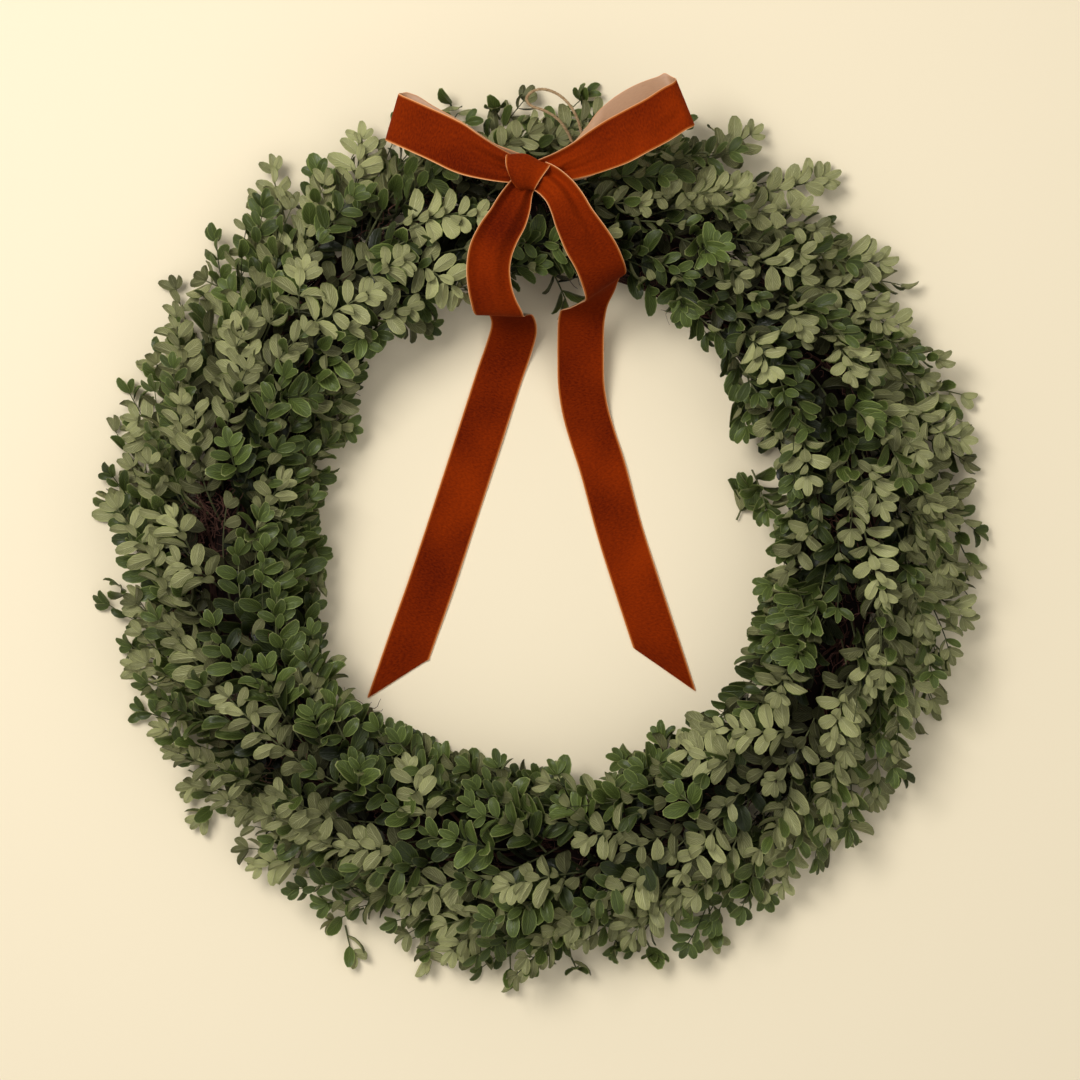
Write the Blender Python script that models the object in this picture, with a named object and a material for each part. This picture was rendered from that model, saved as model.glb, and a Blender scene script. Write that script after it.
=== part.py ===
"""Boxwood wreath with a tied velvet bow, lying on its back.

Metres, +Z up and towards the viewer, +Y towards the wreath's top. A ring of twisted vine holds
sixteen sections of foliage, each a sage bunch on the outer side and a green bunch on the inner
side. A ribbon bow lies on the foliage at the top, and its two tails hang down inside the hole. A
twine loop for hanging is tied in at the top.
"""
import math
import random

import bmesh
import bpy
from mathutils import Matrix, Vector
from mathutils.bvhtree import BVHTree

MM = 0.001

# Vine ring
RING_RADIUS = 246 * MM
RING_MID_HEIGHT = 19 * MM
RING_HALF_WIDTH = 30 * MM
RING_HALF_HEIGHT = 24 * MM
RING_STATIONS = 48
STRANDS = 5
STRAND_TURNS = 2
STRAND_VALLEY = 0.84

# Foliage sections and their cores
SECTIONS = 16
SECTION_ANGLE = 2 * math.pi / SECTIONS
CORE_CLEARANCE = 3.5 * MM
CORE_OUT = 55 * MM
CORE_IN = 45 * MM
CORE_UP = 57 * MM
CORE_PROFILE_POINTS = 4
CORE_STATIONS = 3
CORE_END_GAP = math.radians(0.16)
SAGE_SIDE = (math.radians(-12), math.radians(89.5))
GREEN_SIDE = (math.radians(90.5), math.radians(192))

# Rows of sprigs: angle round the section, place along it, lean from the section's normal at root
# and tip, angle that the leaves face, and length in millimetres
SAGE_ROWS = (
    (0, 0.35, (42, 68), 58, 68),
    (22, 0.85, (44, 70), 66, 70),
    (46, 0.35, (44, 76), 74, 72),
    (70, 0.85, (46, 80), 84, 74),
)
GREEN_ROWS = (
    (102, 0.35, (46, 82), 96, 74),
    (134, 0.85, (55, 90), 108, 68),
    (168, 0.35, (64, 92), 120, 62),
)
ROW_TRIES = 14
PLACE_SPREAD = 0.06
ANGLE_SPREAD = 4
LEAN_SPREAD = 5
LENGTH_SPREAD = (0.94, 1.06)
FEWEST_LEAVES = 3

# Leaves, larger than life so that they cover the ring
LEAF_LENGTH = 36 * MM
LEAF_HALF_WIDTH = 11 * MM
LEAF_TIP_HALF_WIDTH = 5.2 * MM
LEAF_ROOT_HALF_WIDTH = 2.4 * MM
LEAF_ROOT_SHARE = 0.09
LEAF_WIDEST = 0.56
LEAF_THICKNESS = 1.1 * MM
LEAF_DROOP = 1.6 * MM
LEAF_GAP = 0.4 * MM
LEAF_LEAN = (44, 56)
LEAF_RISE = (2, 20)
LEAF_ROLL = 16
LEAF_SIZES = (0.92, 1.06)
FLOOR_GAP = 1.0 * MM

# Changes of rise, lean and roll, in degrees, that a leaf tries in turn to stay clear of others
LEAF_TRIES = (
    (0, 0, 0), (12, 0, 0), (-10, 0, 6), (22, 6, 0), (0, -12, 12), (30, -10, -10), (14, 14, 20),
    (-18, 0, -14), (40, 0, 0), (34, -16, 20), (50, 8, -10), (24, 20, 30),
)

# Stems
STEM_RADIUS = 1.2 * MM
STEM_FLATNESS = 0.6
STEM_ROOT_DEPTH = 6 * MM
STEM_CLEAR = 5 * MM
STEM_STRETCHES = 4
STEM_STEPS = 24
PAIRS = 3
PAIR_SPACING = 14.5 * MM
PAIR_LENGTH = 3.2 * MM

# Ribbon: the knot, then for each loop the far end in millimetres, the angle of the ribbon's width
# there, the front layer's height at the end, the gap to the back layer and the back layer's slip
RIBBON_WIDTH = 38 * MM
RIBBON_THICKNESS = 1.2 * MM
KNOT_CENTRE = Vector((-5, 283, 123)) * MM
KNOT_HALF_SIZE = Vector((19, 16, 9)) * MM
KNOT_TURN = math.radians(-38)
KNOT_SEGMENTS = 10
KNOT_RINGS = 6
LOOPS = {
    "left_loop": ((-114.9, 327.5), 74, 115, 20, 7),
    "right_loop": ((113.3, 334.5), 112, 118, 22, 13),
}
LOOP_STEPS = 6
LOOP_PINCH = 0.40
LOOP_FULL_WIDTH_AT = 0.45
LOOP_ROOT = 0.04
LOOP_TURN = 0.92
LOOP_BULGE = 5 * MM
LOOP_FRONT_OVER_KNOT = 2 * MM
LOOP_BACK_UNDER_KNOT = 5 * MM
LOOP_END_TURNS = (45, 90, 135)
LOOP_SLIP_STARTS = 0.3

# Tail routes in millimetres: place, angle of the ribbon's width in degrees and share of its width
LEFT_TAIL = (
    (-11.0, 276.0, 121, -33, 0.5), (-22.5, 252.0, 122.5, -20, 0.9), (-34.5, 229.0, 119, -12, 1),
    (-38.8, 207.0, 110, -11, 1), (-38.5, 190.5, 94, -7, 1), (-33.5, 180.0, 70, -3, 1),
    (-27.0, 177.5, 46, -4, 1), (-22.0, 175.0, 27, -8, 1), (-20.0, 166.0, 12, -14, 1),
    (-24.5, 150.0, 4, -18, 1), (-31.5, 130.0, 1.2, -18, 1), (-46.4, 83.8, 1, -18, 1),
    (-66.5, 22.0, 1, -18, 1), (-86.2, -37.4, 1, -18, 1), (-102.0, -82.0, 1, -19, 1),
    (-113.9, -116.3, 1, 33, 1),
)
RIGHT_TAIL = (
    (-3.0, 276.0, 121, 55, 0.6), (12.5, 259.0, 123, 42, 0.9), (28.5, 243.0, 120.5, 22, 1),
    (41.0, 225.0, 114, 12, 1), (48.5, 209.0, 104, 16, 1), (51.5, 197.0, 86, 24, 1),
    (50.5, 189.0, 64, 29, 1), (45.5, 183.5, 45, 29, 1), (39.5, 175.0, 32, 22, 1),
    (36.0, 161.0, 25, 8, 1), (34.8, 143.0, 20, 0, 1), (35.0, 122.0, 13, 2, 1),
    (38.5, 101.0, 6, 12, 1), (44.3, 81.0, 1.6, 16, 1), (53.0, 53.7, 1, 17, 1),
    (66.2, 4.9, 1, 17, 1), (79.5, -37.4, 1, 18, 1), (103.0, -109.0, 1, -35, 1),
)

# Twine route in millimetres: out of the foliage at the top, round the loop and back in
TWINE_DIAMETER = 2.5 * MM
TWINE_SPACING = 8.5 * MM
ROUTE_STEPS = 24
TWINE_ROUTE = (
    (38.0, 285.0, 53.6), (39.5, 294.5, 61.0), (38.5, 306.0, 72.0), (34.5, 319.0, 81.5),
    (30.5, 331.0, 87.0), (24.0, 341.5, 88.0), (15.5, 349.0, 87.0), (5.5, 353.0, 85.0),
    (-3.5, 352.0, 83.5), (-9.0, 346.5, 82.0), (-5.5, 340.5, 81.5), (5.5, 336.5, 81.0),
    (16.0, 330.0, 78.5), (24.0, 319.5, 73.5), (28.5, 307.5, 67.5), (29.5, 296.0, 61.0),
    (29.0, 286.0, 53.6),
)

# Seed of all random draws
SEED = 11


def plain_material(name, colour, roughness):
    """A Principled material of one colour."""
    material = bpy.data.materials.new(name)
    material.use_nodes = True
    shader = material.node_tree.nodes["Principled BSDF"]
    shader.inputs["Base Color"].default_value = (*colour, 1.0)
    shader.inputs["Roughness"].default_value = roughness
    shader.inputs["Metallic"].default_value = 0.0
    return material


def mesh_object(name, bm, material, collection=None):
    """An object made from a bmesh, with all its faces pointing out."""
    bmesh.ops.recalc_face_normals(bm, faces=bm.faces)
    mesh = bpy.data.meshes.new(name)
    bm.to_mesh(mesh)
    bm.free()
    mesh.materials.append(material)
    result = bpy.data.objects.new(name, mesh)
    (collection or bpy.context.scene.collection).objects.link(result)
    return result


def join_collection(body, collection):
    """Unites a collection's objects with a body in one solid, then removes the collection."""
    bpy.context.scene.collection.children.link(collection)
    union = body.modifiers.new("union", "BOOLEAN")
    union.operation = "UNION"
    union.operand_type = "COLLECTION"
    union.collection = collection
    union.solver = "MANIFOLD"
    bpy.context.view_layer.update()
    evaluated = body.evaluated_get(bpy.context.evaluated_depsgraph_get())
    mesh = bpy.data.meshes.new_from_object(evaluated)
    mesh.name = body.name
    body.modifiers.clear()
    body.data = mesh
    for member in list(collection.objects):
        bpy.data.objects.remove(member)
    bpy.data.collections.remove(collection)


def ring_directions(theta):
    """Outward and clockwise unit vectors at an angle round the ring."""
    outward = Vector((math.cos(theta), math.sin(theta), 0.0))
    clockwise = Vector((math.sin(theta), -math.cos(theta), 0.0))
    return outward, clockwise


def section_normal(theta, phi):
    """Direction out of the ring's section, phi running from outward over the top."""
    outward, _ = ring_directions(theta)
    return outward * math.cos(phi) + Vector((0.0, 0.0, math.sin(phi)))


def tube_point(theta, phi, half_width, half_height):
    """A point on an elliptical tube round the ring."""
    outward, _ = ring_directions(theta)
    radius = RING_RADIUS + half_width * math.cos(phi)
    height = RING_MID_HEIGHT + half_height * math.sin(phi)
    return outward * radius + Vector((0.0, 0.0, height))


def build_vine_ring(material):
    """The ring: strands that wind round it, flat where they lie on the surface."""
    bm = bmesh.new()
    around = 2 * STRANDS
    rings = []
    for station in range(RING_STATIONS):
        theta = 2 * math.pi * station / RING_STATIONS
        ring = []
        for index in range(around):
            phi = 2 * math.pi * index / around + STRAND_TURNS * theta
            depth = 1.0 if index % 2 == 0 else STRAND_VALLEY
            point = tube_point(theta, phi, RING_HALF_WIDTH * depth, RING_HALF_HEIGHT * depth)
            point.z = max(point.z, 0.0)
            ring.append(bm.verts.new(point))
        rings.append(ring)
    for station, ring in enumerate(rings):
        following = rings[(station + 1) % RING_STATIONS]
        for index in range(around):
            side = (index + 1) % around
            bm.faces.new((ring[index], ring[side], following[side], following[index]))
    return mesh_object("vine_ring", bm, material)


def core_point(theta, phi, depth):
    """A point of a core, depth 0 at its inner face and 1 at its outer one."""
    side = CORE_OUT if math.cos(phi) > 0 else CORE_IN
    inner = RING_HALF_WIDTH + CORE_CLEARANCE
    low = RING_HALF_HEIGHT + CORE_CLEARANCE
    return tube_point(theta, phi, inner + (side - inner) * depth, low + (CORE_UP - low) * depth)


def build_core(name, section, side, material):
    """The dense middle of a bunch: a saddle over one side of one section of the ring."""
    bm = bmesh.new()
    start = SECTION_ANGLE * section + CORE_END_GAP
    span = SECTION_ANGLE - 2 * CORE_END_GAP
    steps = CORE_PROFILE_POINTS - 1
    phis = [side[0] + (side[1] - side[0]) * index / steps for index in range(CORE_PROFILE_POINTS)]
    outline = [(phi, 1.0) for phi in phis] + [(phi, 0.0) for phi in reversed(phis)]
    loops = []
    for station in range(CORE_STATIONS):
        theta = start + span * station / (CORE_STATIONS - 1)
        loops.append([bm.verts.new(core_point(theta, phi, depth)) for phi, depth in outline])
    count = len(outline)
    for loop, following in zip(loops, loops[1:]):
        for index in range(count):
            side_index = (index + 1) % count
            bm.faces.new((loop[index], loop[side_index], following[side_index], following[index]))
    for loop in (loops[0], loops[-1]):
        for index in range(steps):
            inner = count - 1 - index
            bm.faces.new((loop[index], loop[index + 1], loop[inner - 1], loop[inner]))
    return mesh_object(name, bm, material)


class Obstacles:
    """Triangles that new leaves and stems have to stay clear of."""

    def __init__(self):
        self.points = []
        self.triangles = []
        self.tree = None

    def add(self, points, triangles):
        """Adds a closed shape."""
        start = len(self.points)
        self.points.extend(points)
        self.triangles.extend(tuple(index + start for index in triangle) for triangle in triangles)
        self.tree = None

    def add_object(self, item):
        """Adds an object as it is drawn."""
        evaluated = item.evaluated_get(bpy.context.evaluated_depsgraph_get())
        mesh = evaluated.to_mesh()
        mesh.calc_loop_triangles()
        points = [vertex.co.copy() for vertex in mesh.vertices]
        self.add(points, [tuple(triangle.vertices) for triangle in mesh.loop_triangles])
        evaluated.to_mesh_clear()

    def hit(self, points, triangles):
        """True where a shape meets what is here already."""
        if not self.triangles:
            return False
        if self.tree is None:
            self.tree = BVHTree.FromPolygons(self.points, self.triangles)
        return bool(self.tree.overlap(BVHTree.FromPolygons(points, triangles)))


def prism(loops):
    """Points and triangles of a closed prism through loops of equally many points."""
    sides = len(loops[0])
    points = [point for loop in loops for point in loop]
    triangles = []
    for start in range(0, len(points) - sides, sides):
        for index in range(sides):
            other = (index + 1) % sides
            triangles.append((start + index, start + index + sides, start + other + sides))
            triangles.append((start + index, start + other + sides, start + other))
    last = len(points) - sides
    for index in range(1, sides - 1):
        triangles.append((0, index, index + 1))
        triangles.append((last, last + index + 1, last + index))
    return points, triangles


class Leaf:
    """A blade with a flat upper face, a keel below it and a blunt tip."""

    def __init__(self, root, axis, normal, ahead, scale):
        self.root = root
        self.axis = axis.normalized()
        self.normal = (normal - self.axis * normal.dot(self.axis)).normalized()
        self.across = self.normal.cross(self.axis)
        if self.across.dot(ahead) < 0:
            self.across.negate()
        self.scale = scale

    def at(self, share, side, lift):
        """A point of the blade: share along it, side across it and lift above it."""
        droop = LEAF_DROOP * max(0.0, share - LEAF_WIDEST)
        centre = self.root + self.axis * (LEAF_LENGTH * self.scale * share) - self.normal * droop
        return centre + self.across * side + self.normal * lift

    def outline(self):
        """The two points at the widest place, the keel under them and the two tip points."""
        wide = LEAF_HALF_WIDTH * self.scale
        tip = LEAF_TIP_HALF_WIDTH * self.scale
        front = self.at(LEAF_WIDEST, wide, 0.0)
        back = self.at(LEAF_WIDEST, -wide, 0.0)
        keel = self.at(LEAF_WIDEST, 0.0, -LEAF_THICKNESS)
        return front, back, keel, self.at(1.0, tip, 0.0), self.at(1.0, -tip, 0.0)

    def lowest(self):
        """The lowest height of the blade."""
        return min(point.z for point in self.outline())

    def envelope(self):
        """A closed prism a little larger than the blade, which starts clear of the stem."""
        above = LEAF_GAP
        below = -LEAF_THICKNESS - LEAF_GAP
        loops = []
        for share, half in (
            (LEAF_ROOT_SHARE, LEAF_ROOT_HALF_WIDTH),
            (LEAF_WIDEST, LEAF_HALF_WIDTH + LEAF_GAP),
            (1.0, LEAF_TIP_HALF_WIDTH + LEAF_GAP),
        ):
            side = half * self.scale
            corners = ((side, above), (-side, above), (-side, below), (side, below))
            loops.append([self.at(share, across, lift) for across, lift in corners])
        return prism(loops)


class Stem:
    """A three-sided stem along a curve that leans over clockwise."""

    def __init__(self, theta, phi, leans, face, length):
        self.face = face
        self.length = length
        self.root_end = STEM_ROOT_DEPTH / math.cos(leans[0]) + STEM_CLEAR
        self.points = []
        self.directions = []
        point = core_point(theta, phi, 1.0) - section_normal(theta, phi) * STEM_ROOT_DEPTH
        for index in range(STEM_STEPS + 1):
            angle = math.atan2(point.y, point.x)
            _, clockwise = ring_directions(angle)
            lean = leans[0] + (leans[1] - leans[0]) * index / STEM_STEPS
            direction = section_normal(angle, phi) * math.cos(lean) + clockwise * math.sin(lean)
            self.points.append(point)
            self.directions.append(direction)
            point = point + direction * (length / STEM_STEPS)

    def at(self, distance):
        """Point, direction, up and side at a distance along the stem."""
        place = max(0.0, min(1.0, distance / self.length)) * STEM_STEPS
        low = min(int(place), STEM_STEPS - 1)
        point = self.points[low].lerp(self.points[low + 1], place - low)
        along = self.directions[low].lerp(self.directions[low + 1], place - low).normalized()
        facing = section_normal(math.atan2(point.y, point.x), self.face)
        up = (facing - along * facing.dot(along)).normalized()
        return point, along, up, up.cross(along)

    def ring(self, distance, radius=STEM_RADIUS):
        """The three corners of the stem: its ridge, its left and its right."""
        point, _, up, side = self.at(distance)
        low = point - up * (radius * STEM_FLATNESS)
        return point + up * radius, low + side * radius, low - side * radius

    def envelope(self, start, end):
        """A closed prism round a stretch of the stem."""
        radius = STEM_RADIUS + LEAF_GAP
        return prism([self.ring(start, radius), self.ring(end, radius)])

    def root(self):
        """The envelope of the stretch that leaves the core."""
        return self.envelope(0.0, self.root_end)

    def free(self):
        """The envelopes of the stretches beyond the root."""
        step = (self.length - self.root_end) / STEM_STRETCHES
        starts = [self.root_end + step * index for index in range(STEM_STRETCHES)]
        return [self.envelope(start, start + step) for start in starts]

    def blocked(self, solid, foliage):
        """True where the stem meets other things."""
        if foliage.hit(*self.root()):
            return True
        return any(solid.hit(*shape) or foliage.hit(*shape) for shape in self.free())


def place_leaf(stem, distance, side, obstacles, draw):
    """A leaf that is clear of the obstacles, or None.

    Side is 1 or -1 for a leaf of a pair and 0 for the leaf at the tip.
    """
    point, along, up, across = stem.at(distance)
    lean = draw.uniform(*LEAF_LEAN) if side else 0.0
    rise = draw.uniform(*LEAF_RISE)
    scale = draw.uniform(*LEAF_SIZES)
    roll = LEAF_ROLL if side else 0.0
    ahead = along if side else across
    for more_rise, more_lean, more_roll in LEAF_TRIES:
        turn = math.radians(lean + more_lean)
        lift = math.radians(rise + more_rise)
        axis = along * math.cos(turn) + across * ((side or 1) * math.sin(turn))
        axis = axis * math.cos(lift) + up * math.sin(lift)
        spin = Matrix.Rotation(-math.radians(roll + more_roll) * (side or 1), 3, axis)
        normal = up - axis * up.dot(axis)
        leaf = Leaf(point, axis, spin @ normal, ahead, scale)
        if leaf.lowest() < FLOOR_GAP:
            continue
        shape = leaf.envelope()
        if not any(blocked.hit(*shape) for blocked in obstacles):
            return leaf
    return None


def add_blade(bm, root, leaf):
    """Grows a leaf out of a stem's side or end, whose corners are given.

    A side gives its back and front top corners, then its front and back bottom ones. An end gives
    its ridge, its front corner and its back one.
    """
    front, back, keel, front_tip, back_tip = (bm.verts.new(point) for point in leaf.outline())
    back_top, front_low, back_low = root[0], root[-2], root[-1]
    if len(root) == 4:
        bm.faces.new((back_top, root[1], front))
    bm.faces.new((back_top, front, back))
    bm.faces.new((root[-3], front_low, front))
    bm.faces.new((front_low, keel, front))
    bm.faces.new((back_low, keel, front_low))
    bm.faces.new((back_low, back, keel))
    bm.faces.new((back_top, back, back_low))
    bm.faces.new((back, front, front_tip))
    bm.faces.new((back, front_tip, back_tip))
    bm.faces.new((keel, back, back_tip))
    bm.faces.new((keel, back_tip, front_tip))
    bm.faces.new((keel, front_tip, front))


def add_side(bm, start, end, low, high):
    """One side of a stretch of stem as two triangles."""
    bm.faces.new((start[low], start[high], end[high]))
    bm.faces.new((start[low], end[high], end[low]))


def add_stretch(bm, start, end):
    """The three sides of a plain stretch of stem."""
    for low, high in ((0, 1), (1, 2), (2, 0)):
        add_side(bm, start, end, low, high)


class Sprig:
    """A stem with opposite pairs of leaves and a leaf at its tip."""

    def __init__(self, stem, solid, foliage, draw):
        self.stem = stem
        self.blades = Obstacles()
        self.pairs = []
        self.leaf_count = 0
        obstacles = (solid, foliage, self.blades)
        bare = stem.length - PAIRS * PAIR_SPACING
        for index in range(PAIRS):
            distance = bare + PAIR_SPACING * index
            pair = {}
            for side in (1, -1):
                pair[side] = self.keep(place_leaf(stem, distance + PAIR_LENGTH / 2, side, obstacles, draw))
            if pair[1] or pair[-1]:
                self.pairs.append((distance, pair))
        self.tip = self.keep(place_leaf(stem, stem.length, 0, obstacles, draw))

    def keep(self, leaf):
        """Counts a leaf that was found and keeps others clear of it."""
        if leaf is not None:
            self.leaf_count += 1
            self.blades.add(*leaf.envelope())
        return leaf

    def build(self, material, collection):
        """The sprig as one closed mesh."""
        bm = bmesh.new()
        previous = [bm.verts.new(point) for point in self.stem.ring(0.0)]
        bm.faces.new(previous)
        for distance, pair in self.pairs:
            start = [bm.verts.new(point) for point in self.stem.ring(distance)]
            end = [bm.verts.new(point) for point in self.stem.ring(distance + PAIR_LENGTH)]
            add_stretch(bm, previous, start)
            add_side(bm, start, end, 1, 2)
            for side, corner in ((1, 1), (-1, 2)):
                if pair[side]:
                    add_blade(bm, (start[0], end[0], end[corner], start[corner]), pair[side])
                else:
                    add_side(bm, start, end, 0, corner)
            previous = end
        final = [bm.verts.new(point) for point in self.stem.ring(self.stem.length)]
        add_stretch(bm, previous, final)
        if self.tip:
            ahead = 1 if self.tip.across.dot(final[1].co - final[2].co) > 0 else 2
            add_blade(bm, (final[0], final[ahead], final[3 - ahead]), self.tip)
        else:
            bm.faces.new(final)
        return mesh_object("sprig", bm, material, collection)


def grow_sprig(section, row, solid, foliage, draw):
    """A sprig of a row that finds room, or None."""
    phi, place, leans, face, length = row
    for attempt in range(ROW_TRIES):
        wider = 1 + attempt / (ROW_TRIES / 2)
        shift = draw.uniform(-PLACE_SPREAD, PLACE_SPREAD) * wider
        angle = math.radians(phi + draw.uniform(-ANGLE_SPREAD, ANGLE_SPREAD) * wider)
        lean = tuple(math.radians(value + draw.uniform(-LEAN_SPREAD, LEAN_SPREAD)) for value in leans)
        run = length * MM * draw.uniform(*LENGTH_SPREAD)
        stem = Stem(SECTION_ANGLE * (section + place + shift), angle, lean, math.radians(face), run)
        if stem.blocked(solid, foliage):
            continue
        sprig = Sprig(stem, solid, foliage, draw)
        if sprig.leaf_count >= FEWEST_LEAVES:
            return sprig
    return None


def build_bunch(name, section, side, rows, material, solid, foliage, draw):
    """One bunch: sprigs on a core, joined in one body."""
    core = build_core(name, section, side, material)
    sprigs = bpy.data.collections.new(name)
    for row in rows:
        sprig = grow_sprig(section, row, solid, foliage, draw)
        if sprig is None:
            continue
        sprig.build(material, sprigs)
        for shape in (sprig.stem.root(), *sprig.stem.free()):
            foliage.add(*shape)
        foliage.add(sprig.blades.points, sprig.blades.triangles)
    join_collection(core, sprigs)
    return core


def build_foliage(sage, green, fixed):
    """All bunches round the ring, clear of the fixed objects and of each other."""
    solid = Obstacles()
    for item in fixed:
        solid.add_object(item)
    for section in range(SECTIONS):
        for side in (SAGE_SIDE, GREEN_SIDE):
            guide = build_core("guide", section, side, sage)
            solid.add_object(guide)
            bpy.data.objects.remove(guide)
    foliage = Obstacles()
    draw = random.Random(SEED)
    bunches = []
    for section in range(SECTIONS):
        for colour, side, rows, material in (
            ("sage", SAGE_SIDE, SAGE_ROWS, sage),
            ("green", GREEN_SIDE, GREEN_ROWS, green),
        ):
            name = f"{colour}_leaves_{section + 1:02d}"
            bunches.append(build_bunch(name, section, side, rows, material, solid, foliage, draw))
    return bunches


def smooth_route(points, spacing):
    """Evenly spaced points along a smooth curve through the route's own points."""
    padded = [points[0] * 2 - points[1], *points, points[-1] * 2 - points[-2]]
    fine = []
    for index in range(len(points) - 1):
        before, start, end, after = padded[index:index + 4]
        leaving = (end - before) / 2
        arriving = (after - start) / 2
        for step in range(ROUTE_STEPS):
            share = step / ROUTE_STEPS
            square = share * share
            cube = square * share
            place = start * (2 * cube - 3 * square + 1) + leaving * (cube - 2 * square + share)
            fine.append(place + end * (3 * square - 2 * cube) + arriving * (cube - square))
    fine.append(points[-1])
    distances = [0.0]
    for first, second in zip(fine, fine[1:]):
        distances.append(distances[-1] + (second - first).length)
    count = round(distances[-1] / spacing)
    route = []
    cursor = 0
    for index in range(count + 1):
        wanted = distances[-1] * index / count
        while cursor < len(fine) - 2 and distances[cursor + 1] < wanted:
            cursor += 1
        share = (wanted - distances[cursor]) / (distances[cursor + 1] - distances[cursor])
        route.append(fine[cursor].lerp(fine[cursor + 1], min(1.0, share)))
    return route


def build_hanging_loop(material):
    """The twine as a tube along its route."""
    route = smooth_route([Vector(point) * MM for point in TWINE_ROUTE], TWINE_SPACING)
    curve = bpy.data.curves.new("hanging_loop", "CURVE")
    curve.dimensions = "3D"
    curve.bevel_depth = TWINE_DIAMETER / 2
    curve.bevel_resolution = 2
    curve.use_fill_caps = True
    curve.materials.append(material)
    spline = curve.splines.new("POLY")
    spline.points.add(len(route) - 1)
    for point, place in zip(spline.points, route):
        point.co = (*place, 1.0)
    result = bpy.data.objects.new("hanging_loop", curve)
    bpy.context.scene.collection.objects.link(result)
    return result


def build_band(name, stations, material, collection):
    """A band of ribbon through stations of place, direction across and half width.

    The half width is measured square to the run, so a slanted direction gives a slanted end.
    """
    bm = bmesh.new()
    loops = []
    for index, (place, across, half) in enumerate(stations):
        before = stations[max(index - 1, 0)][0]
        after = stations[min(index + 1, len(stations) - 1)][0]
        run = (after - before).normalized()
        reach = across * (half / across.cross(run).length)
        lift = run.cross(across).normalized() * (RIBBON_THICKNESS / 2)
        corners = (place + reach + lift, place - reach + lift, place - reach - lift, place + reach - lift)
        loops.append([bm.verts.new(corner) for corner in corners])
    for loop, following in zip(loops, loops[1:]):
        for index in range(4):
            side = (index + 1) % 4
            bm.faces.new((loop[index], loop[side], following[side]))
            bm.faces.new((loop[index], following[side], following[index]))
    bm.faces.new(loops[0])
    bm.faces.new(loops[-1])
    return mesh_object(name, bm, material, collection)


def flat_direction(degrees):
    """A level unit vector at an angle from +X."""
    angle = math.radians(degrees)
    return Vector((math.cos(angle), math.sin(angle), 0.0))


def tail_stations(route):
    """Stations of a tail from its route."""
    stations = []
    for x, y, z, turn, share in route:
        stations.append((Vector((x, y, z)) * MM, flat_direction(turn), RIBBON_WIDTH / 2 * share))
    return stations


def loop_stations(end, end_angle, end_height, gap, slip):
    """Stations of a loop: out along the front layer, round its end and back along the back one."""
    far = Vector((end[0] * MM, end[1] * MM, KNOT_CENTRE.z))
    run = far - KNOT_CENTRE
    length = run.length
    run.normalize()
    square = Vector((-run.y, run.x, 0.0))
    if square.y < 0:
        square.negate()
    slant = flat_direction(end_angle)
    radius = gap * MM / 2
    front = KNOT_CENTRE.z + LOOP_FRONT_OVER_KNOT
    back = KNOT_CENTRE.z - LOOP_BACK_UNDER_KNOT
    stations = []

    def add(share, height, shift):
        """Adds a station at a share of the loop's length."""
        widening = min(1.0, share / LOOP_FULL_WIDTH_AT)
        half = RIBBON_WIDTH / 2 * (LOOP_PINCH + (1 - LOOP_PINCH) * widening)
        place = KNOT_CENTRE + run * (length * share) + square * (shift * MM)
        place.z = height
        stations.append((place, square.lerp(slant, share).normalized(), half))

    for index in range(LOOP_STEPS + 1):
        share = LOOP_ROOT + (LOOP_TURN - LOOP_ROOT) * index / LOOP_STEPS
        height = front + (end_height * MM - front) * share
        add(share, height + LOOP_BULGE * math.sin(math.pi * share), 0.0)
    top = stations[-1][0].z
    for degrees in LOOP_END_TURNS:
        turn = math.radians(degrees)
        share = LOOP_TURN + radius * math.sin(turn) / length
        add(share, top - radius * (1 - math.cos(turn)), slip * degrees / 180)
    low = top - 2 * radius
    for index in range(LOOP_STEPS):
        share = LOOP_TURN - (LOOP_TURN - LOOP_ROOT) * index / (LOOP_STEPS - 1)
        add(share, low + (back - low) * (1 - share), slip * min(1.0, share / LOOP_SLIP_STARTS))
    return stations


def build_ribbon_bow(material):
    """The ribbon: a knot with two loops and two tails that run into it, joined in one body."""
    knot = bmesh.new()
    bmesh.ops.create_uvsphere(knot, u_segments=KNOT_SEGMENTS, v_segments=KNOT_RINGS, radius=1.0)
    bmesh.ops.scale(knot, vec=KNOT_HALF_SIZE, verts=knot.verts)
    bmesh.ops.rotate(knot, matrix=Matrix.Rotation(KNOT_TURN, 3, "Z"), verts=knot.verts)
    bmesh.ops.translate(knot, vec=KNOT_CENTRE, verts=knot.verts)
    bow = mesh_object("ribbon_bow", knot, material)
    bands = bpy.data.collections.new("ribbon_bands")
    for name, shape in LOOPS.items():
        build_band(name, loop_stations(*shape), material, bands)
    build_band("left_tail", tail_stations(LEFT_TAIL), material, bands)
    build_band("right_tail", tail_stations(RIGHT_TAIL), material, bands)
    join_collection(bow, bands)
    return bow


def centre_on_origin(items, rigid):
    """Moves all items so that the box of the rigid ones is centred and stands on z = 0."""
    corners = [vertex.co for item in rigid for vertex in item.data.vertices]
    low = [min(corner[axis] for corner in corners) for axis in range(3)]
    high = [max(corner[axis] for corner in corners) for axis in range(3)]
    for item in items:
        item.location = (-(low[0] + high[0]) / 2, -(low[1] + high[1]) / 2, -low[2])


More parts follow.
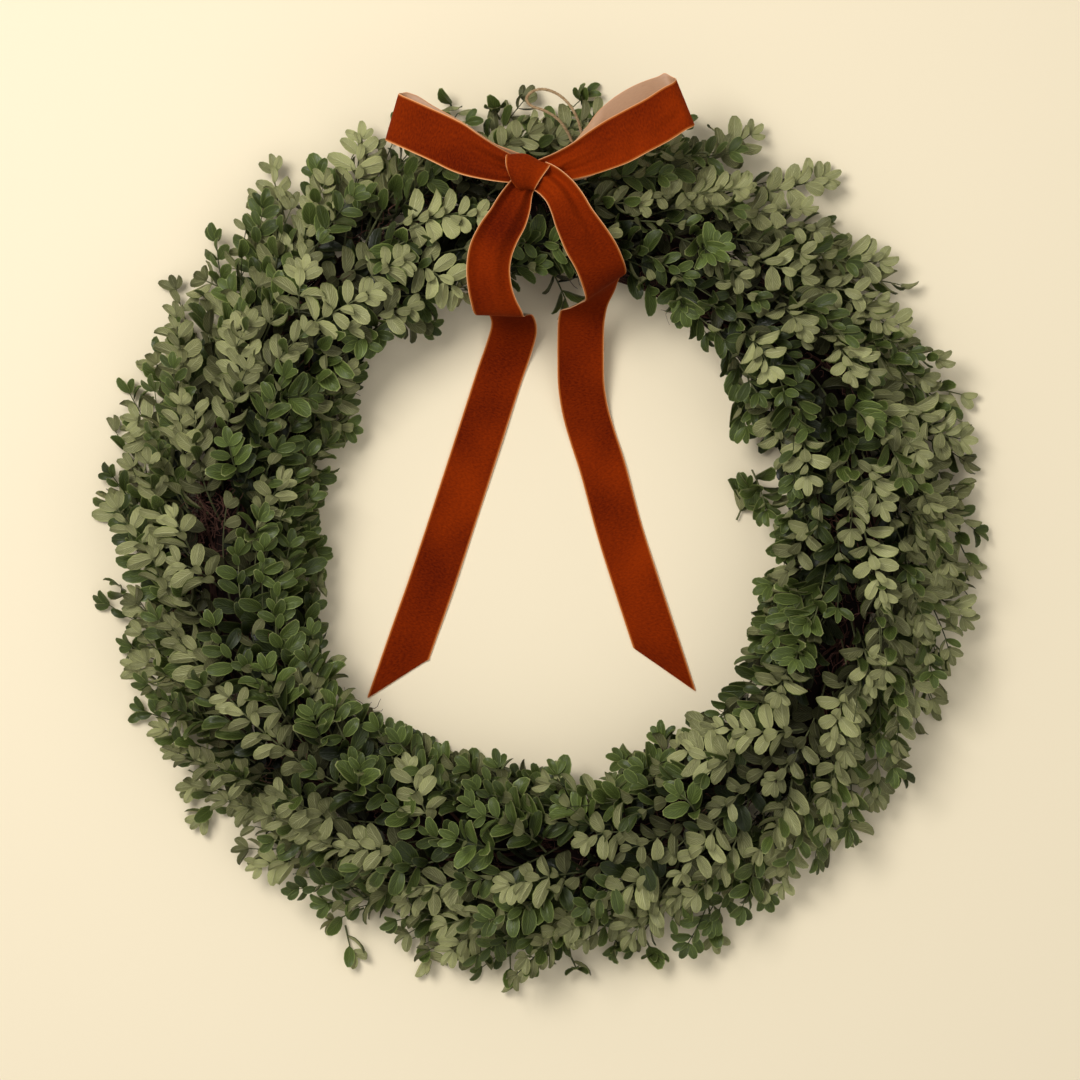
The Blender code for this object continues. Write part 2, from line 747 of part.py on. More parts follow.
def main():
    """Builds the whole wreath."""
    for item in list(bpy.data.objects):
        bpy.data.objects.remove(item)
    vine = plain_material("twisted_vine", (0.085, 0.05, 0.035), 0.85)
    sage = plain_material("sage_leaf", (0.17, 0.20, 0.125), 0.6)
    green = plain_material("green_leaf", (0.055, 0.115, 0.045), 0.45)
    velvet = plain_material("rust_velvet", (0.36, 0.07, 0.02), 0.8)
    jute = plain_material("jute_twine", (0.45, 0.33, 0.19), 0.9)
    ring = build_vine_ring(vine)
    bow = build_ribbon_bow(velvet)
    twine = build_hanging_loop(jute)
    bunches = build_foliage(sage, green, (ring, bow, twine))
    rigid = [ring, bow, *bunches]
    centre_on_origin([*rigid, twine], rigid)


main()
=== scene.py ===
"""Looks of the boxwood wreath with a velvet bow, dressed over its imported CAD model.

The wreath lies on its back and the camera looks down on it. Each bunch of foliage in the CAD model
is replaced by sprigs of true-size leaves that keep its place and sweep, the ring by twisted twigs
and curly vine ends, the bow by sheets of velvet ribbon, and the hanging loop by laid twine.
"""
from __future__ import annotations

import itertools
import logging
import math
import random
from dataclasses import dataclass, field, replace
from enum import Enum
from math import acos, atan2, cos, hypot, pi, radians, sin
from typing import Any, Callable, Iterable, Sequence

import bpy
import numpy as np
from mathutils import Matrix, Vector
from mathutils.bvhtree import BVHTree

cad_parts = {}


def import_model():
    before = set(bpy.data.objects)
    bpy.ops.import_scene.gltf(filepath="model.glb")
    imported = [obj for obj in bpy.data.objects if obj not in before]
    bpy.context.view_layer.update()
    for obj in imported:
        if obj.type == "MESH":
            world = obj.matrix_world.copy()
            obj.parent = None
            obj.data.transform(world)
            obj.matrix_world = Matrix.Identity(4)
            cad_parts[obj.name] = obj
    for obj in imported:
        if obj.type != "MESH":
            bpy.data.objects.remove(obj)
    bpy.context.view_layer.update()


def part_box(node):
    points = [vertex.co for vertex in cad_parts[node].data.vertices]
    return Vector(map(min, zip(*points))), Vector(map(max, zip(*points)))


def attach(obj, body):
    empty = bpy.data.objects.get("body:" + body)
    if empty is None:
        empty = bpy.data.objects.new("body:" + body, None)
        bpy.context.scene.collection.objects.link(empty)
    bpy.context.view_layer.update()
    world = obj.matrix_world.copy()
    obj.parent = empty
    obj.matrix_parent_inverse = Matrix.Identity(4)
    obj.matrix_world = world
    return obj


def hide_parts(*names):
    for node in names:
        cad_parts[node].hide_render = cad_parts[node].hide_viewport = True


LOG = logging.getLogger("wreath")
MM = 0.001

# Measures that the CAD source states too, in metres
RING_RADIUS = 246 * MM
RING_MID_HEIGHT = 19 * MM
RING_HALF_WIDTH = 30 * MM
RING_HALF_HEIGHT = 24 * MM
SECTIONS = 16
SECTION_ANGLE = 2 * pi / SECTIONS
FOLIAGE_OUT = 55 * MM
FOLIAGE_IN = 45 * MM
FOLIAGE_UP = 57 * MM

# The photograph's scale, the pixel at the ring's centre and the one at the picture's middle
PIXEL = 0.8 * MM
CENTRE_PIXEL = (538.0, 536.0)
MIDDLE_PIXEL = (540.0, 540.0)

# Openings where the photograph shows the vine: pixel, radius and lowest leaf height in millimetres
GAPS = (
    (209, 503, 15, 46), (212, 533, 15, 46), (891, 667, 8, 50), (840, 598, 8, 50),
    (350, 735, 8, 45), (683, 792, 8, 45), (306, 372, 8, 45),
)

# The hole's radius in the photograph's pixels, every 15 degrees from the right over the top
HOLE_RADII = (
    244, 248, 243, 254, 261, 261, 258, 248, 256, 250, 219, 223,
    224, 229, 248, 247, 236, 236, 236, 252, 242, 248, 244, 234,
)
HOLE_ANGLES = np.linspace(0.0, 360.0, len(HOLE_RADII), endpoint=False)

# Least height of a stem over the surface, and least share of the ribbon's width in its pleats
LOWEST_STEM = 3.5 * MM
LEAST_SHARE = 0.2

Piece = bpy.types.Object
Material = bpy.types.Material
Socket = bpy.types.NodeSocket
Tree = bpy.types.NodeTree
Span = tuple[float, float]
Triple = tuple[float, float, float]
Colour = Triple
Crease = tuple[float, float, float, float, float, float]
Points = Sequence[Sequence[float]]


# Small tools


def photo_place(x: float, y: float) -> Span:
    """Place beside the ring's centre, in metres, of a pixel of the photograph."""
    return (x - CENTRE_PIXEL[0]) * PIXEL, (CENTRE_PIXEL[1] - y) * PIXEL


def ring_directions(theta: float) -> tuple[Vector, Vector]:
    """Outward and clockwise unit vectors at an angle round the ring."""
    outward = Vector((cos(theta), sin(theta), 0.0))
    clockwise = Vector((sin(theta), -cos(theta), 0.0))
    return outward, clockwise


def turned(first: Vector, second: Vector, angle: float) -> Vector:
    """A direction turned by an angle from one direction towards another."""
    return first * cos(angle) + second * sin(angle)


def drawn_angle(draw: random.Random, span: Span) -> float:
    """An angle drawn from a span in degrees, in radians."""
    return radians(draw.uniform(*span))


def section_normal(theta: float, phi: float) -> Vector:
    """Direction out of the ring's section, phi running from outward over the front."""
    outward, _ = ring_directions(theta)
    return outward * cos(phi) + Vector((0.0, 0.0, sin(phi)))


def section_point(theta: float, phi: float, depth: float) -> Vector:
    """A point between the vine ring's surface and the foliage's body.

    Args:
        theta: Angle round the ring.
        phi: Angle round the ring's section.
        depth: 0 at the vine ring and 1 at the foliage's body.

    Returns:
        The point, measured from the ring's centre.
    """
    outward, _ = ring_directions(theta)
    wide = FOLIAGE_OUT if cos(phi) > 0 else FOLIAGE_IN
    half_width = RING_HALF_WIDTH + (wide - RING_HALF_WIDTH) * depth
    half_height = RING_HALF_HEIGHT + (FOLIAGE_UP - RING_HALF_HEIGHT) * depth
    height = RING_MID_HEIGHT + half_height * sin(phi)
    return outward * (RING_RADIUS + half_width * cos(phi)) + Vector((0.0, 0.0, height))


def deselect_all() -> None:
    """Leaves object mode's selection empty, so that an operator acts on its own piece alone."""
    if bpy.context.object and bpy.context.object.mode != "OBJECT":
        bpy.ops.object.mode_set(mode="OBJECT")
    bpy.ops.object.select_all(action="DESELECT")


def edit_all() -> None:
    """Goes to edit mode with the whole mesh selected."""
    bpy.ops.object.mode_set(mode="EDIT")
    bpy.ops.mesh.select_all(action="SELECT")


def object_mode() -> None:
    """Leaves edit mode."""
    bpy.ops.object.mode_set(mode="OBJECT")


def select_vertices(item: Piece, wanted: Callable[[Vector], bool]) -> None:
    """Selects vertices by their place and goes to edit mode.

    Args:
        item: The object being shaped.
        wanted: Says of a vertex's place whether it is selected.
    """
    bpy.ops.object.mode_set(mode="EDIT")
    bpy.ops.mesh.select_mode(type="VERT")
    bpy.ops.mesh.select_all(action="DESELECT")
    object_mode()
    for vertex in item.data.vertices:
        vertex.select = bool(wanted(vertex.co))
    bpy.ops.object.mode_set(mode="EDIT")


def finish_piece(item: Piece, nodes: Sequence[str], slot: str) -> Piece:
    """Puts a finished piece on the root body, for the CAD nodes that it replaces.

    Args:
        item: The piece, with its place in its mesh.
        nodes: Names of the CAD nodes that it stands for.
        slot: Name of the piece's material slot; not used.

    Returns:
        The piece.
    """
    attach(item, "root")
    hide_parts(*nodes)
    LOG.info("%s: %d faces", item.name, len(item.data.polygons))
    return item


def smooth_route(points: Points, spacing: float, steps: int = 24) -> np.ndarray:
    """Evenly spaced values along a smooth curve through given ones.

    Args:
        points: Rows whose first three columns are a place. Further columns go along with it.
        spacing: Distance between the places of the result, in metres.
        steps: Steps between two given points, before the result is spaced evenly.

    Returns:
        One row per point of the result.
    """
    rows = np.array(points, float)
    padded = np.vstack([2 * rows[0] - rows[1], rows, 2 * rows[-1] - rows[-2]])
    share = np.linspace(0, 1, steps, endpoint=False)[:, None]
    square, cube = share**2, share**3
    fine = []
    for before, start, end, after in zip(padded, padded[1:], padded[2:], padded[3:]):
        leaving, arriving = (end - before) / 2, (after - start) / 2
        fine.append(
            start * (2 * cube - 3 * square + 1)
            + leaving * (cube - 2 * square + share)
            + end * (3 * square - 2 * cube)
            + arriving * (cube - square)
        )
    fine_rows = np.vstack([*fine, rows[-1:]])
    steps = np.linalg.norm(np.diff(fine_rows[:, :3], axis=0), axis=1)
    travelled = np.concatenate([[0.0], np.cumsum(steps)])
    wanted = np.linspace(0, travelled[-1], max(2, round(travelled[-1] / spacing) + 1))
    return np.column_stack([np.interp(wanted, travelled, column) for column in fine_rows.T])


def unit_rows(rows: np.ndarray) -> np.ndarray:
    """Each row at length 1."""
    return rows / np.maximum(np.linalg.norm(rows, axis=1, keepdims=True), 1e-12)


def read_values(items: Any, name: str, width: int = 1, kind: type = float) -> np.ndarray:
    """One property of all items of a mesh's collection, as an array with a row for each."""
    values = np.empty(len(items) * width, kind)
    items.foreach_get(name, values)
    return values.reshape(-1, width) if width > 1 else values


# Meshes that are modelled once and copied


@dataclass
class Template:
    """A shape that was modelled once, held as arrays so that it can be copied many times.

    Attributes:
        points: Vertex places.
        corners: Vertex numbers of all faces, one after another.
        sizes: Number of corners of each face.
        uvs: UV of each corner.
        slots: Material slot of each face.
    """

    points: np.ndarray
    corners: np.ndarray
    sizes: np.ndarray
    uvs: np.ndarray
    slots: np.ndarray

    @classmethod
    def taken_from(cls, item: Piece) -> "Template":
        """Reads a modelled object and removes it."""
        mesh = item.data
        template = cls(
            read_values(mesh.vertices, "co", 3),
            read_values(mesh.loops, "vertex_index", kind=np.int64),
            read_values(mesh.polygons, "loop_total", kind=np.int64),
            read_values(mesh.uv_layers[0].data, "uv", 2),
            read_values(mesh.polygons, "material_index", kind=np.int64),
        )
        bpy.data.objects.remove(item)
        return template


@dataclass
class Gathered:
    """Copies of templates, gathered to be one mesh.

    Attributes:
        copies: Template, vertex places, shade and own material slot of each copy.
    """

    copies: list[tuple[Template, np.ndarray, float, int | None]] = field(default_factory=list)

    def add(
        self, template: Template, points: np.ndarray, tone: float, slot: int | None = None
    ) -> None:
        """Adds one copy, with its shade from 0 to 1 and a material slot of its own."""
        self.copies.append((template, points, tone, slot))

    def build(
        self, name: str, materials: Iterable[Material], angle: float
    ) -> Piece:
        """Makes the gathered copies one object.

        Args:
            name: The object's name.
            materials: Its materials, in slot order.
            angle: Edges sharper than this stay sharp, in degrees.

        Returns:
            The object, at the origin.
        """
        templates, places, tones, slots = zip(*self.copies)
        counts = [len(points) for points in places]
        starts = np.cumsum([0, *counts])
        corners = np.concatenate([each.corners + start for each, start in zip(templates, starts)])
        sizes = np.concatenate([each.sizes for each in templates])
        own = [
            each.slots if slot is None else np.full(len(each.sizes), slot)
            for each, slot in zip(templates, slots)
        ]
        mesh = bpy.data.meshes.new(name)
        mesh.vertices.add(int(starts[-1]))
        mesh.vertices.foreach_set("co", np.vstack(places).ravel())
        mesh.loops.add(len(corners))
        mesh.loops.foreach_set("vertex_index", corners)
        mesh.polygons.add(len(sizes))
        mesh.polygons.foreach_set("loop_start", np.cumsum([0, *sizes[:-1]]))
        mesh.polygons.foreach_set("material_index", np.concatenate(own))
        uvs = np.vstack([each.uvs for each in templates])
        mesh.uv_layers.new(name="UVMap").data.foreach_set("uv", uvs.ravel())
        tone = mesh.attributes.new("tone", "FLOAT", "POINT")
        tone.data.foreach_set("value", np.repeat(tones, counts))
        mesh.update(calc_edges=True)
        mesh.validate()
        for material in materials:
            mesh.materials.append(material)
        item = bpy.data.objects.new(name, mesh)
        bpy.context.scene.collection.objects.link(item)
        deselect_all()
        item.select_set(True)
        bpy.context.view_layer.objects.active = item
        bpy.ops.object.shade_smooth_by_angle(angle=radians(angle))
        deselect_all()
        return item


@dataclass
class LeafBlade:
    """One boxwood leaf of unit length: a petiole that widens to a blunt oval blade.

    Attributes:
        stations: Places along the leaf at which its width is given.
        half_widths: Half of its width at each of them.
        arch: Fall of each station towards the leaf's underside.
        columns: Faces across the leaf.
        edge_lift: Rise of the outer edge above the midrib, for the cupped upper side.
        inner_lift: Rise half-way between the midrib and the edge.
        thickness: Thickness at the middle.
    """

    stations: tuple[float, ...] = (0.0, 0.07, 0.20, 0.42, 0.68, 0.89, 1.0)
    half_widths: tuple[float, ...] = (0.018, 0.040, 0.162, 0.240, 0.250, 0.178, 0.075)
    arch: tuple[float, ...] = (0.0, -0.008, -0.008, 0.005, 0.0, -0.028, -0.055)
    columns: int = 4
    edge_lift: float = 0.052
    inner_lift: float = 0.034
    thickness: float = 0.018

    def model(self) -> Template:
        """Models the leaf from a grid: rows narrowed and moved, edges cupped, underside added."""
        rows = len(self.stations) - 1
        deselect_all()
        bpy.ops.mesh.primitive_grid_add(
            x_subdivisions=rows, y_subdivisions=self.columns, size=1.0, location=(0, 0, 0)
        )
        item = bpy.context.object
        self._shape_rows(item, rows)
        self._cup(item)
        self._add_underside(item)
        object_mode()
        return Template.taken_from(item)

    def _shape_rows(self, item: Piece, rows: int) -> None:
        """Gives each row of the grid its width and its place, the last row first."""
        for index in reversed(range(rows + 1)):
            start = index / rows - 0.5
            select_vertices(item, lambda place: abs(place.x - start) < 1e-4)
            bpy.ops.transform.resize(
                value=(1.0, self.half_widths[index] / 0.5, 1.0), center_override=(start, 0.0, 0.0)
            )
            lift = (self.stations[index] + 1.0 - start, 0.0, self.arch[index])
            bpy.ops.transform.translate(value=lift)
        select_vertices(item, lambda place: True)
        bpy.ops.transform.translate(value=(-1.0, 0.0, 0.0))

    def _cup(self, item: Piece) -> None:
        """Raises the outer edges and the lines half-way to them."""
        widths = list(zip(self.stations, self.half_widths))
        widest = max(self.half_widths)
        for share, lift in ((1.0, self.edge_lift), (0.5, self.inner_lift)):
            for station, half in widths[1:-1]:
                side = half * share
                select_vertices(
                    item,
                    lambda place: abs(place.x - station) < 1e-3 and abs(abs(place.y) - side) < 1e-3,
                )
                bpy.ops.transform.translate(value=(0.0, 0.0, lift * half / widest))

    def _add_underside(self, item: Piece) -> None:
        """Copies the upper side, turns it over and joins the two along the leaf's edge."""
        object_mode()
        upper = len(item.data.polygons)
        edit_all()
        bpy.ops.mesh.duplicate()
        bpy.ops.mesh.flip_normals()
        object_mode()
        counts = len(item.data.vertices) // 2
        inner = self._inner_vertices(item)
        for vertex in item.data.vertices:
            vertex.select = vertex.index >= counts and vertex.index - counts in inner
        for polygon in item.data.polygons:
            polygon.material_index = 0 if polygon.index < upper else 1
        bpy.ops.object.mode_set(mode="EDIT")
        bpy.ops.mesh.select_mode(type="VERT")
        bpy.ops.transform.translate(value=(0.0, 0.0, -self.thickness))
        bpy.ops.mesh.select_all(action="SELECT")
        bpy.ops.mesh.remove_doubles(threshold=1e-5)

    def _inner_vertices(self, item: Piece) -> set[int]:
        """Numbers of the upper side's vertices that aren't on its edge."""
        half = dict(zip(self.stations, self.half_widths))
        found = set()
        for vertex in item.data.vertices[: len(item.data.vertices) // 2]:
            station = min(self.stations, key=lambda value: abs(value - vertex.co.x))
            ends = station in (self.stations[0], self.stations[-1])
            if not ends and abs(vertex.co.y) < half[station] - 1e-3:
                found.add(vertex.index)
        return found


@dataclass
class Rod:
    """A straight rod of unit length and unit radius along X, to be swept along paths.

    Attributes:
        sides: Number of sides.
        steps: Number of stretches along it.
    """

    sides: int
    steps: int

    def model(self) -> Template:
        """Models the rod from a filled circle that is extruded step by step."""
        deselect_all()
        bpy.ops.mesh.primitive_circle_add(
            vertices=self.sides, radius=1.0, fill_type="NGON", rotation=(0.0, pi / 2, 0.0)
        )
        item = bpy.context.object
        bpy.ops.object.transform_apply(location=False, rotation=True, scale=False)
        edit_all()
        for _ in range(self.steps):
            bpy.ops.mesh.extrude_region_move(
                TRANSFORM_OT_translate={"value": (1.0 / self.steps, 0.0, 0.0)}
            )
        bpy.ops.mesh.select_all(action="SELECT")
        bpy.ops.mesh.normals_make_consistent(inside=False)
        object_mode()
        self._unwrap(item.data)
        return Template.taken_from(item)

    def _unwrap(self, mesh: bpy.types.Mesh) -> None:
        """Gives the rod a UV map: along it and once round it."""
        if not mesh.uv_layers:
            mesh.uv_layers.new(name="UVMap")
        layer = mesh.uv_layers[0].data
        for polygon in mesh.polygons:
            middle = atan2(polygon.center.z, polygon.center.y)
            for index in polygon.loop_indices:
                place = mesh.vertices[mesh.loops[index].vertex_index].co
                turn = atan2(place.z, place.y)
                turn += 2 * pi * round((middle - turn) / (2 * pi))
                layer[index].uv = (place.x, turn / (2 * pi) + 0.5)

    def sweep(self, template: Template, path: np.ndarray, radii: np.ndarray) -> np.ndarray:
        """Vertex places of a copy that follows a path.

        Args:
            template: What model() gave.
            path: Points of the path.
            radii: Radius at each of them.

        Returns:
            The copy's vertex places.
        """
        share = np.linspace(0, 1, len(path))
        stations = np.clip(np.round(template.points[:, 0] * self.steps) / self.steps, 0, 1)
        wanted = np.linspace(0, 1, self.steps + 1)
        line = np.column_stack([np.interp(wanted, share, path[:, axis]) for axis in range(3)])
        width = np.interp(wanted, share, radii)
        along = unit_rows(np.gradient(line, axis=0))
        up = self.carried(along)
        side = np.cross(along, up)
        index = np.round(stations * self.steps).astype(int)
        return (
            line[index]
            + side[index] * (template.points[:, 1] * width[index])[:, None]
            + up[index] * (template.points[:, 2] * width[index])[:, None]
        )

    @staticmethod
    def carried(along: np.ndarray) -> np.ndarray:
        """A direction square to the path that turns with it as little as it can."""
        start = np.array((0.0, 0.0, 1.0)) if abs(along[0][2]) < 0.9 else np.array((0.0, 1.0, 0.0))
        carried = []
        for direction in along:
            start = start - direction * start.dot(direction)
            start = start / max(np.linalg.norm(start), 1e-12)
            carried.append(start)
        return np.array(carried)


# Shader building


class Nodes:
    """Adds nodes to a material or a group and joins their sockets."""

    MIX_INPUTS = (0, 6, 7)
    MIX_RESULT = 2

    def __init__(self, tree: Tree) -> None:
        """Starts on a node tree."""
        self.tree = tree

    def add(self, kind: str, **settings: Any) -> bpy.types.Node:
        """A new node with its settings."""
        node = self.tree.nodes.new(kind)
        for name, value in settings.items():
            setattr(node, name, value)
        return node

    def feed(self, socket: Socket, value: Any) -> None:
        """Joins a socket to another one, or sets its value."""
        if isinstance(value, bpy.types.NodeSocket):
            self.tree.links.new(value, socket)
        elif isinstance(value, tuple) and len(value) == 3 and socket.type == "RGBA":
            socket.default_value = (*value, 1.0)
        else:
            socket.default_value = value

    def math(self, operation: str, *values: Any) -> Socket:
        """The result of a Math node."""
        node = self.add("ShaderNodeMath", operation=operation)
        for socket, value in zip(node.inputs, values):
            self.feed(socket, value)
        return node.outputs[0]

    def times(self, first: Any, second: Any) -> Socket:
        """One value multiplied by another."""
        return self.math("MULTIPLY", first, second)

    def plus(self, first: Any, second: Any) -> Socket:
        """The sum of two values."""
        return self.math("ADD", first, second)

    def minus(self, first: Any, second: Any) -> Socket:
        """The first value less the second."""
        return self.math("SUBTRACT", first, second)

    def split(self, vector: Any) -> bpy.types.bpy_prop_collection:
        """The three parts of a vector."""
        node = self.add("ShaderNodeSeparateXYZ")
        self.feed(node.inputs[0], vector)
        return node.outputs

    def off_middle(self, across: Any) -> Socket:
        """Distance from the middle of a UV strip, 1 at both of its sides."""
        return self.math("ABSOLUTE", self.times(self.minus(across, 0.5), 2.0))

    def mix(self, share: Any, low: Any, high: Any) -> Socket:
        """A mix of two colours."""
        node = self.add("ShaderNodeMix", data_type="RGBA")
        for index, value in zip(self.MIX_INPUTS, (share, low, high)):
            self.feed(node.inputs[index], value)
        return node.outputs[self.MIX_RESULT]

    def scaled(
        self, value: Any, low: float, high: float, to: Span = (0.0, 1.0)
    ) -> Socket:
        """A value from one range, eased into another."""
        node = self.add("ShaderNodeMapRange", interpolation_type="SMOOTHSTEP")
        for socket, given in zip(node.inputs, (value, low, high, *to)):
            self.feed(socket, given)
        return node.outputs[0]

    def noise(self, vector: Any, scale: float, detail: float = 3.0, rough: float = 0.55) -> Any:
        """A noise value over a vector."""
        node = self.add("ShaderNodeTexNoise")
        self.feed(node.inputs["Vector"], vector)
        self.feed(node.inputs["Scale"], scale)
        self.feed(node.inputs["Detail"], detail)
        self.feed(node.inputs["Roughness"], rough)
        return node.outputs["Fac"]

    def stretched(self, vector: Any, scale: Triple) -> Socket:
        """A vector stretched by a Mapping node."""
        node = self.add("ShaderNodeMapping")
        self.feed(node.inputs["Vector"], vector)
        self.feed(node.inputs["Scale"], scale)
        return node.outputs[0]

    def place(self, kind: str = "Object") -> Socket:
        """A texture coordinate: Object or UV."""
        return self.add("ShaderNodeTexCoord").outputs[kind]

    def tone(self) -> Socket:
        """Each leaf's or twig's shade: its own tone, with painted shade where it lies deep."""
        return self.add("ShaderNodeAttribute", attribute_name="tone").outputs["Fac"]

    def closed(self, *results: Socket) -> Tree:
        """The group, once its results are joined to its output in their order."""
        output = self.add("NodeGroupOutput")
        for socket, value in zip(output.inputs, results):
            self.feed(socket, value)
        return self.tree

    def dress(self, colour: Any, roughness: Any, height: Any, depth: float, bump: float) -> None:
        """Gives the Principled shader its colour, its roughness and its relief.

        Args:
            colour: The base colour.
            roughness: The roughness.
            height: Height of the relief, from 0 to 1.
            depth: Depth of the relief, in metres.
            bump: Strength of the relief.
        """
        relief = self.add("ShaderNodeBump")
        for label, value in (("Height", height), ("Distance", depth), ("Strength", bump)):
            self.feed(relief.inputs[label], value)
        shader = self.tree.nodes["Principled BSDF"].inputs
        self.feed(shader["Base Color"], colour)
        self.feed(shader["Roughness"], roughness)
        self.feed(shader["Normal"], relief.outputs[0])


def new_material(name: str) -> tuple[Material, Nodes, bpy.types.Node]:
    """A node material.

    Args:
        name: The material's name.

    Returns:
        The material, its node builder and its Principled shader.
    """
    material = bpy.data.materials.new(name)
    material.use_nodes = True
    shader = material.node_tree.nodes["Principled BSDF"]
    return material, Nodes(material.node_tree), shader


def new_group(name: str, inputs: dict[str, float | None], outputs: Sequence[str]) -> Nodes:
    """A shader node group with named sockets.

    Args:
        name: The group's name.
        inputs: Default value of each input, or None for a vector.
        outputs: Names of its values.

    Returns:
        The group's node builder.
    """
    tree = bpy.data.node_groups.new(name, "ShaderNodeTree")
    for label, value in inputs.items():
        kind = "NodeSocketVector" if value is None else "NodeSocketFloat"
        socket = tree.interface.new_socket(name=label, in_out="INPUT", socket_type=kind)
        if value is not None:
            socket.default_value = value
    for label in outputs:
        tree.interface.new_socket(name=label, in_out="OUTPUT", socket_type="NodeSocketFloat")
    return Nodes(tree)


def build_leaf_markings() -> Tree:
    """The group that turns a leaf's UV map into its rim, midrib, veins and relief."""
    nodes = new_group(
        "leaf_markings",
        {"UV": None, "Vein count": 9.0, "Vein slant": 0.42},
        ("Rim", "Midrib", "Veins", "Height"),
    )
    given = nodes.add("NodeGroupInput").outputs
    along, across, _ = nodes.split(given["UV"])
    off_middle = nodes.off_middle(across)
    tip = nodes.scaled(along, 0.86, 1.0)
    rim = nodes.scaled(nodes.math("MAXIMUM", off_middle, tip), 0.80, 0.97)
    midrib = nodes.scaled(off_middle, 0.0, 0.13, (1.0, 0.0))
    wobble = nodes.noise(nodes.stretched(given["UV"], (3.0, 3.0, 1.0)), 2.0, 2.0)
    run = nodes.minus(along, nodes.times(off_middle, given["Vein slant"]))
    run = nodes.plus(run, nodes.times(wobble, 0.12))
    wave = nodes.math("SINE", nodes.times(nodes.times(run, given["Vein count"]), 2 * pi))
    veins = nodes.times(nodes.scaled(wave, 0.1, 1.0), nodes.minus(1.0, rim))
    ridge = nodes.math("MAXIMUM", midrib, nodes.times(veins, 0.6))
    height = nodes.plus(ridge, nodes.times(rim, 0.5))
    return nodes.closed(rim, midrib, veins, height)


def build_fibre_streaks() -> Tree:
    """The group of long thin streaks for twigs, twine and ribbon threads."""
    nodes = new_group(
        "fibre_streaks", {"Vector": None, "Along": 4.0, "Across": 60.0}, ("Streaks", "Patches")
    )
    given = nodes.add("NodeGroupInput").outputs
    scale = nodes.add("ShaderNodeCombineXYZ")
    for socket, label in zip(scale.inputs, ("Along", "Across", "Across")):
        nodes.feed(socket, given[label])
    placed = nodes.add("ShaderNodeVectorMath", operation="MULTIPLY")
    nodes.feed(placed.inputs[0], given["Vector"])
    nodes.feed(placed.inputs[1], scale.outputs[0])
    streaks = nodes.noise(placed.outputs[0], 1.0, 4.0, 0.6)
    return nodes.closed(streaks, nodes.noise(given["Vector"], 6.0, 2.0))


# Where most of a noise value lies
MIDDLE_OF_NOISE = (0.3, 0.7)


class SharedEffects:
    """The node groups that several finishes use, each built once."""

    def __init__(self) -> None:
        """Builds the groups."""
        self.leaf_markings = build_leaf_markings()
        self.fibre_streaks = build_fibre_streaks()

    def place(self, nodes: Nodes, tree: Tree, **inputs: Any) -> bpy.types.Node:
        """A group placed in a material.

        Args:
            nodes: The material's node builder.
            tree: The group.
            inputs: Its inputs by name, with _ for a space.

        Returns:
            The group's node.
        """
        node = nodes.add("ShaderNodeGroup", node_tree=tree)
        for label, value in inputs.items():
            nodes.feed(node.inputs[label.replace("_", " ")], value)
        return node


@dataclass(frozen=True)
class LeafFinish:
    """One side of a leaf.

    Attributes:
        name: The material's name.
        deep: Colour of the darkest leaves, those in the deepest painted shade in the body.
        pale: Colour of the lightest leaves.
        rim: Colour along the leaf's edge.
        rib: Colour of the midrib and veins.
        rim_share: How strongly the rim shows.
        vein_share: How strongly the veins show.
        roughness: Lowest roughness of the surface.
        relief: Height of the midrib, in metres.
        vein_count: Veins on each half.
        gloss: Strength of its plain reflections.
        blotch_scale: Blotches in a metre.
        shares: How much its shade, own tone and painted shade together, and the blotches lighten
            the leaf.
        midrib_gain: How much stronger the midrib shows than the veins.
        roughness_range: How much rougher the roughest places are.
        marked: Strength of the marks on the darkest leaf, and the shade from which it is full, so
            that marks fade under painted shade.
        dimmed: The same for its lightness: painted shade that darkens deep leaves further.
    """

    name: str
    deep: Colour
    pale: Colour
    rim: Colour
    rib: Colour
    rim_share: float
    vein_share: float
    roughness: float
    relief: float
    vein_count: float
    gloss: float
    blotch_scale: float = 95.0
    shares: Span = (0.8, 0.24)
    midrib_gain: float = 1.3
    roughness_range: float = 0.14
    marked: Span = (0.05, 0.7)
    dimmed: Span = (0.22, 0.45)

    def build(self, effects: SharedEffects) -> Material:
        """Builds the material."""
        material, nodes, shader = new_material(self.name)
        marks = effects.place(
            nodes, effects.leaf_markings, UV=nodes.place("UV"), Vein_count=self.vein_count
        ).outputs
        # The tone attribute holds each leaf's own tone times painted shade for how deep it lies; it
        # darkens the colour and fades the marks.
        tone = nodes.tone()
        blotch = nodes.noise(nodes.place(), self.blotch_scale)
        lit = nodes.scaled(tone, 0.0, self.marked[1], (self.marked[0], 1.0))
        shade = nodes.plus(*map(nodes.times, (tone, blotch), self.shares))
        dim = nodes.scaled(tone, 0.0, self.dimmed[1], (self.dimmed[0], 1.0))
        colour = nodes.mix(nodes.times(shade, dim), self.deep, self.pale)
        for mark, share, tint in (
            ("Veins", self.vein_share, self.rib),
            ("Midrib", self.vein_share * self.midrib_gain, self.rib),
            ("Rim", self.rim_share, self.rim),
        ):
            shown = nodes.times(nodes.times(marks[mark], share), lit)
            colour = nodes.mix(shown, colour, tint)
        span = (self.roughness, self.roughness + self.roughness_range)
        rough = nodes.scaled(blotch, *MIDDLE_OF_NOISE, span)
        nodes.dress(colour, rough, marks["Height"], self.relief, 1.0)
        shader.inputs["Specular IOR Level"].default_value = self.gloss
        return material


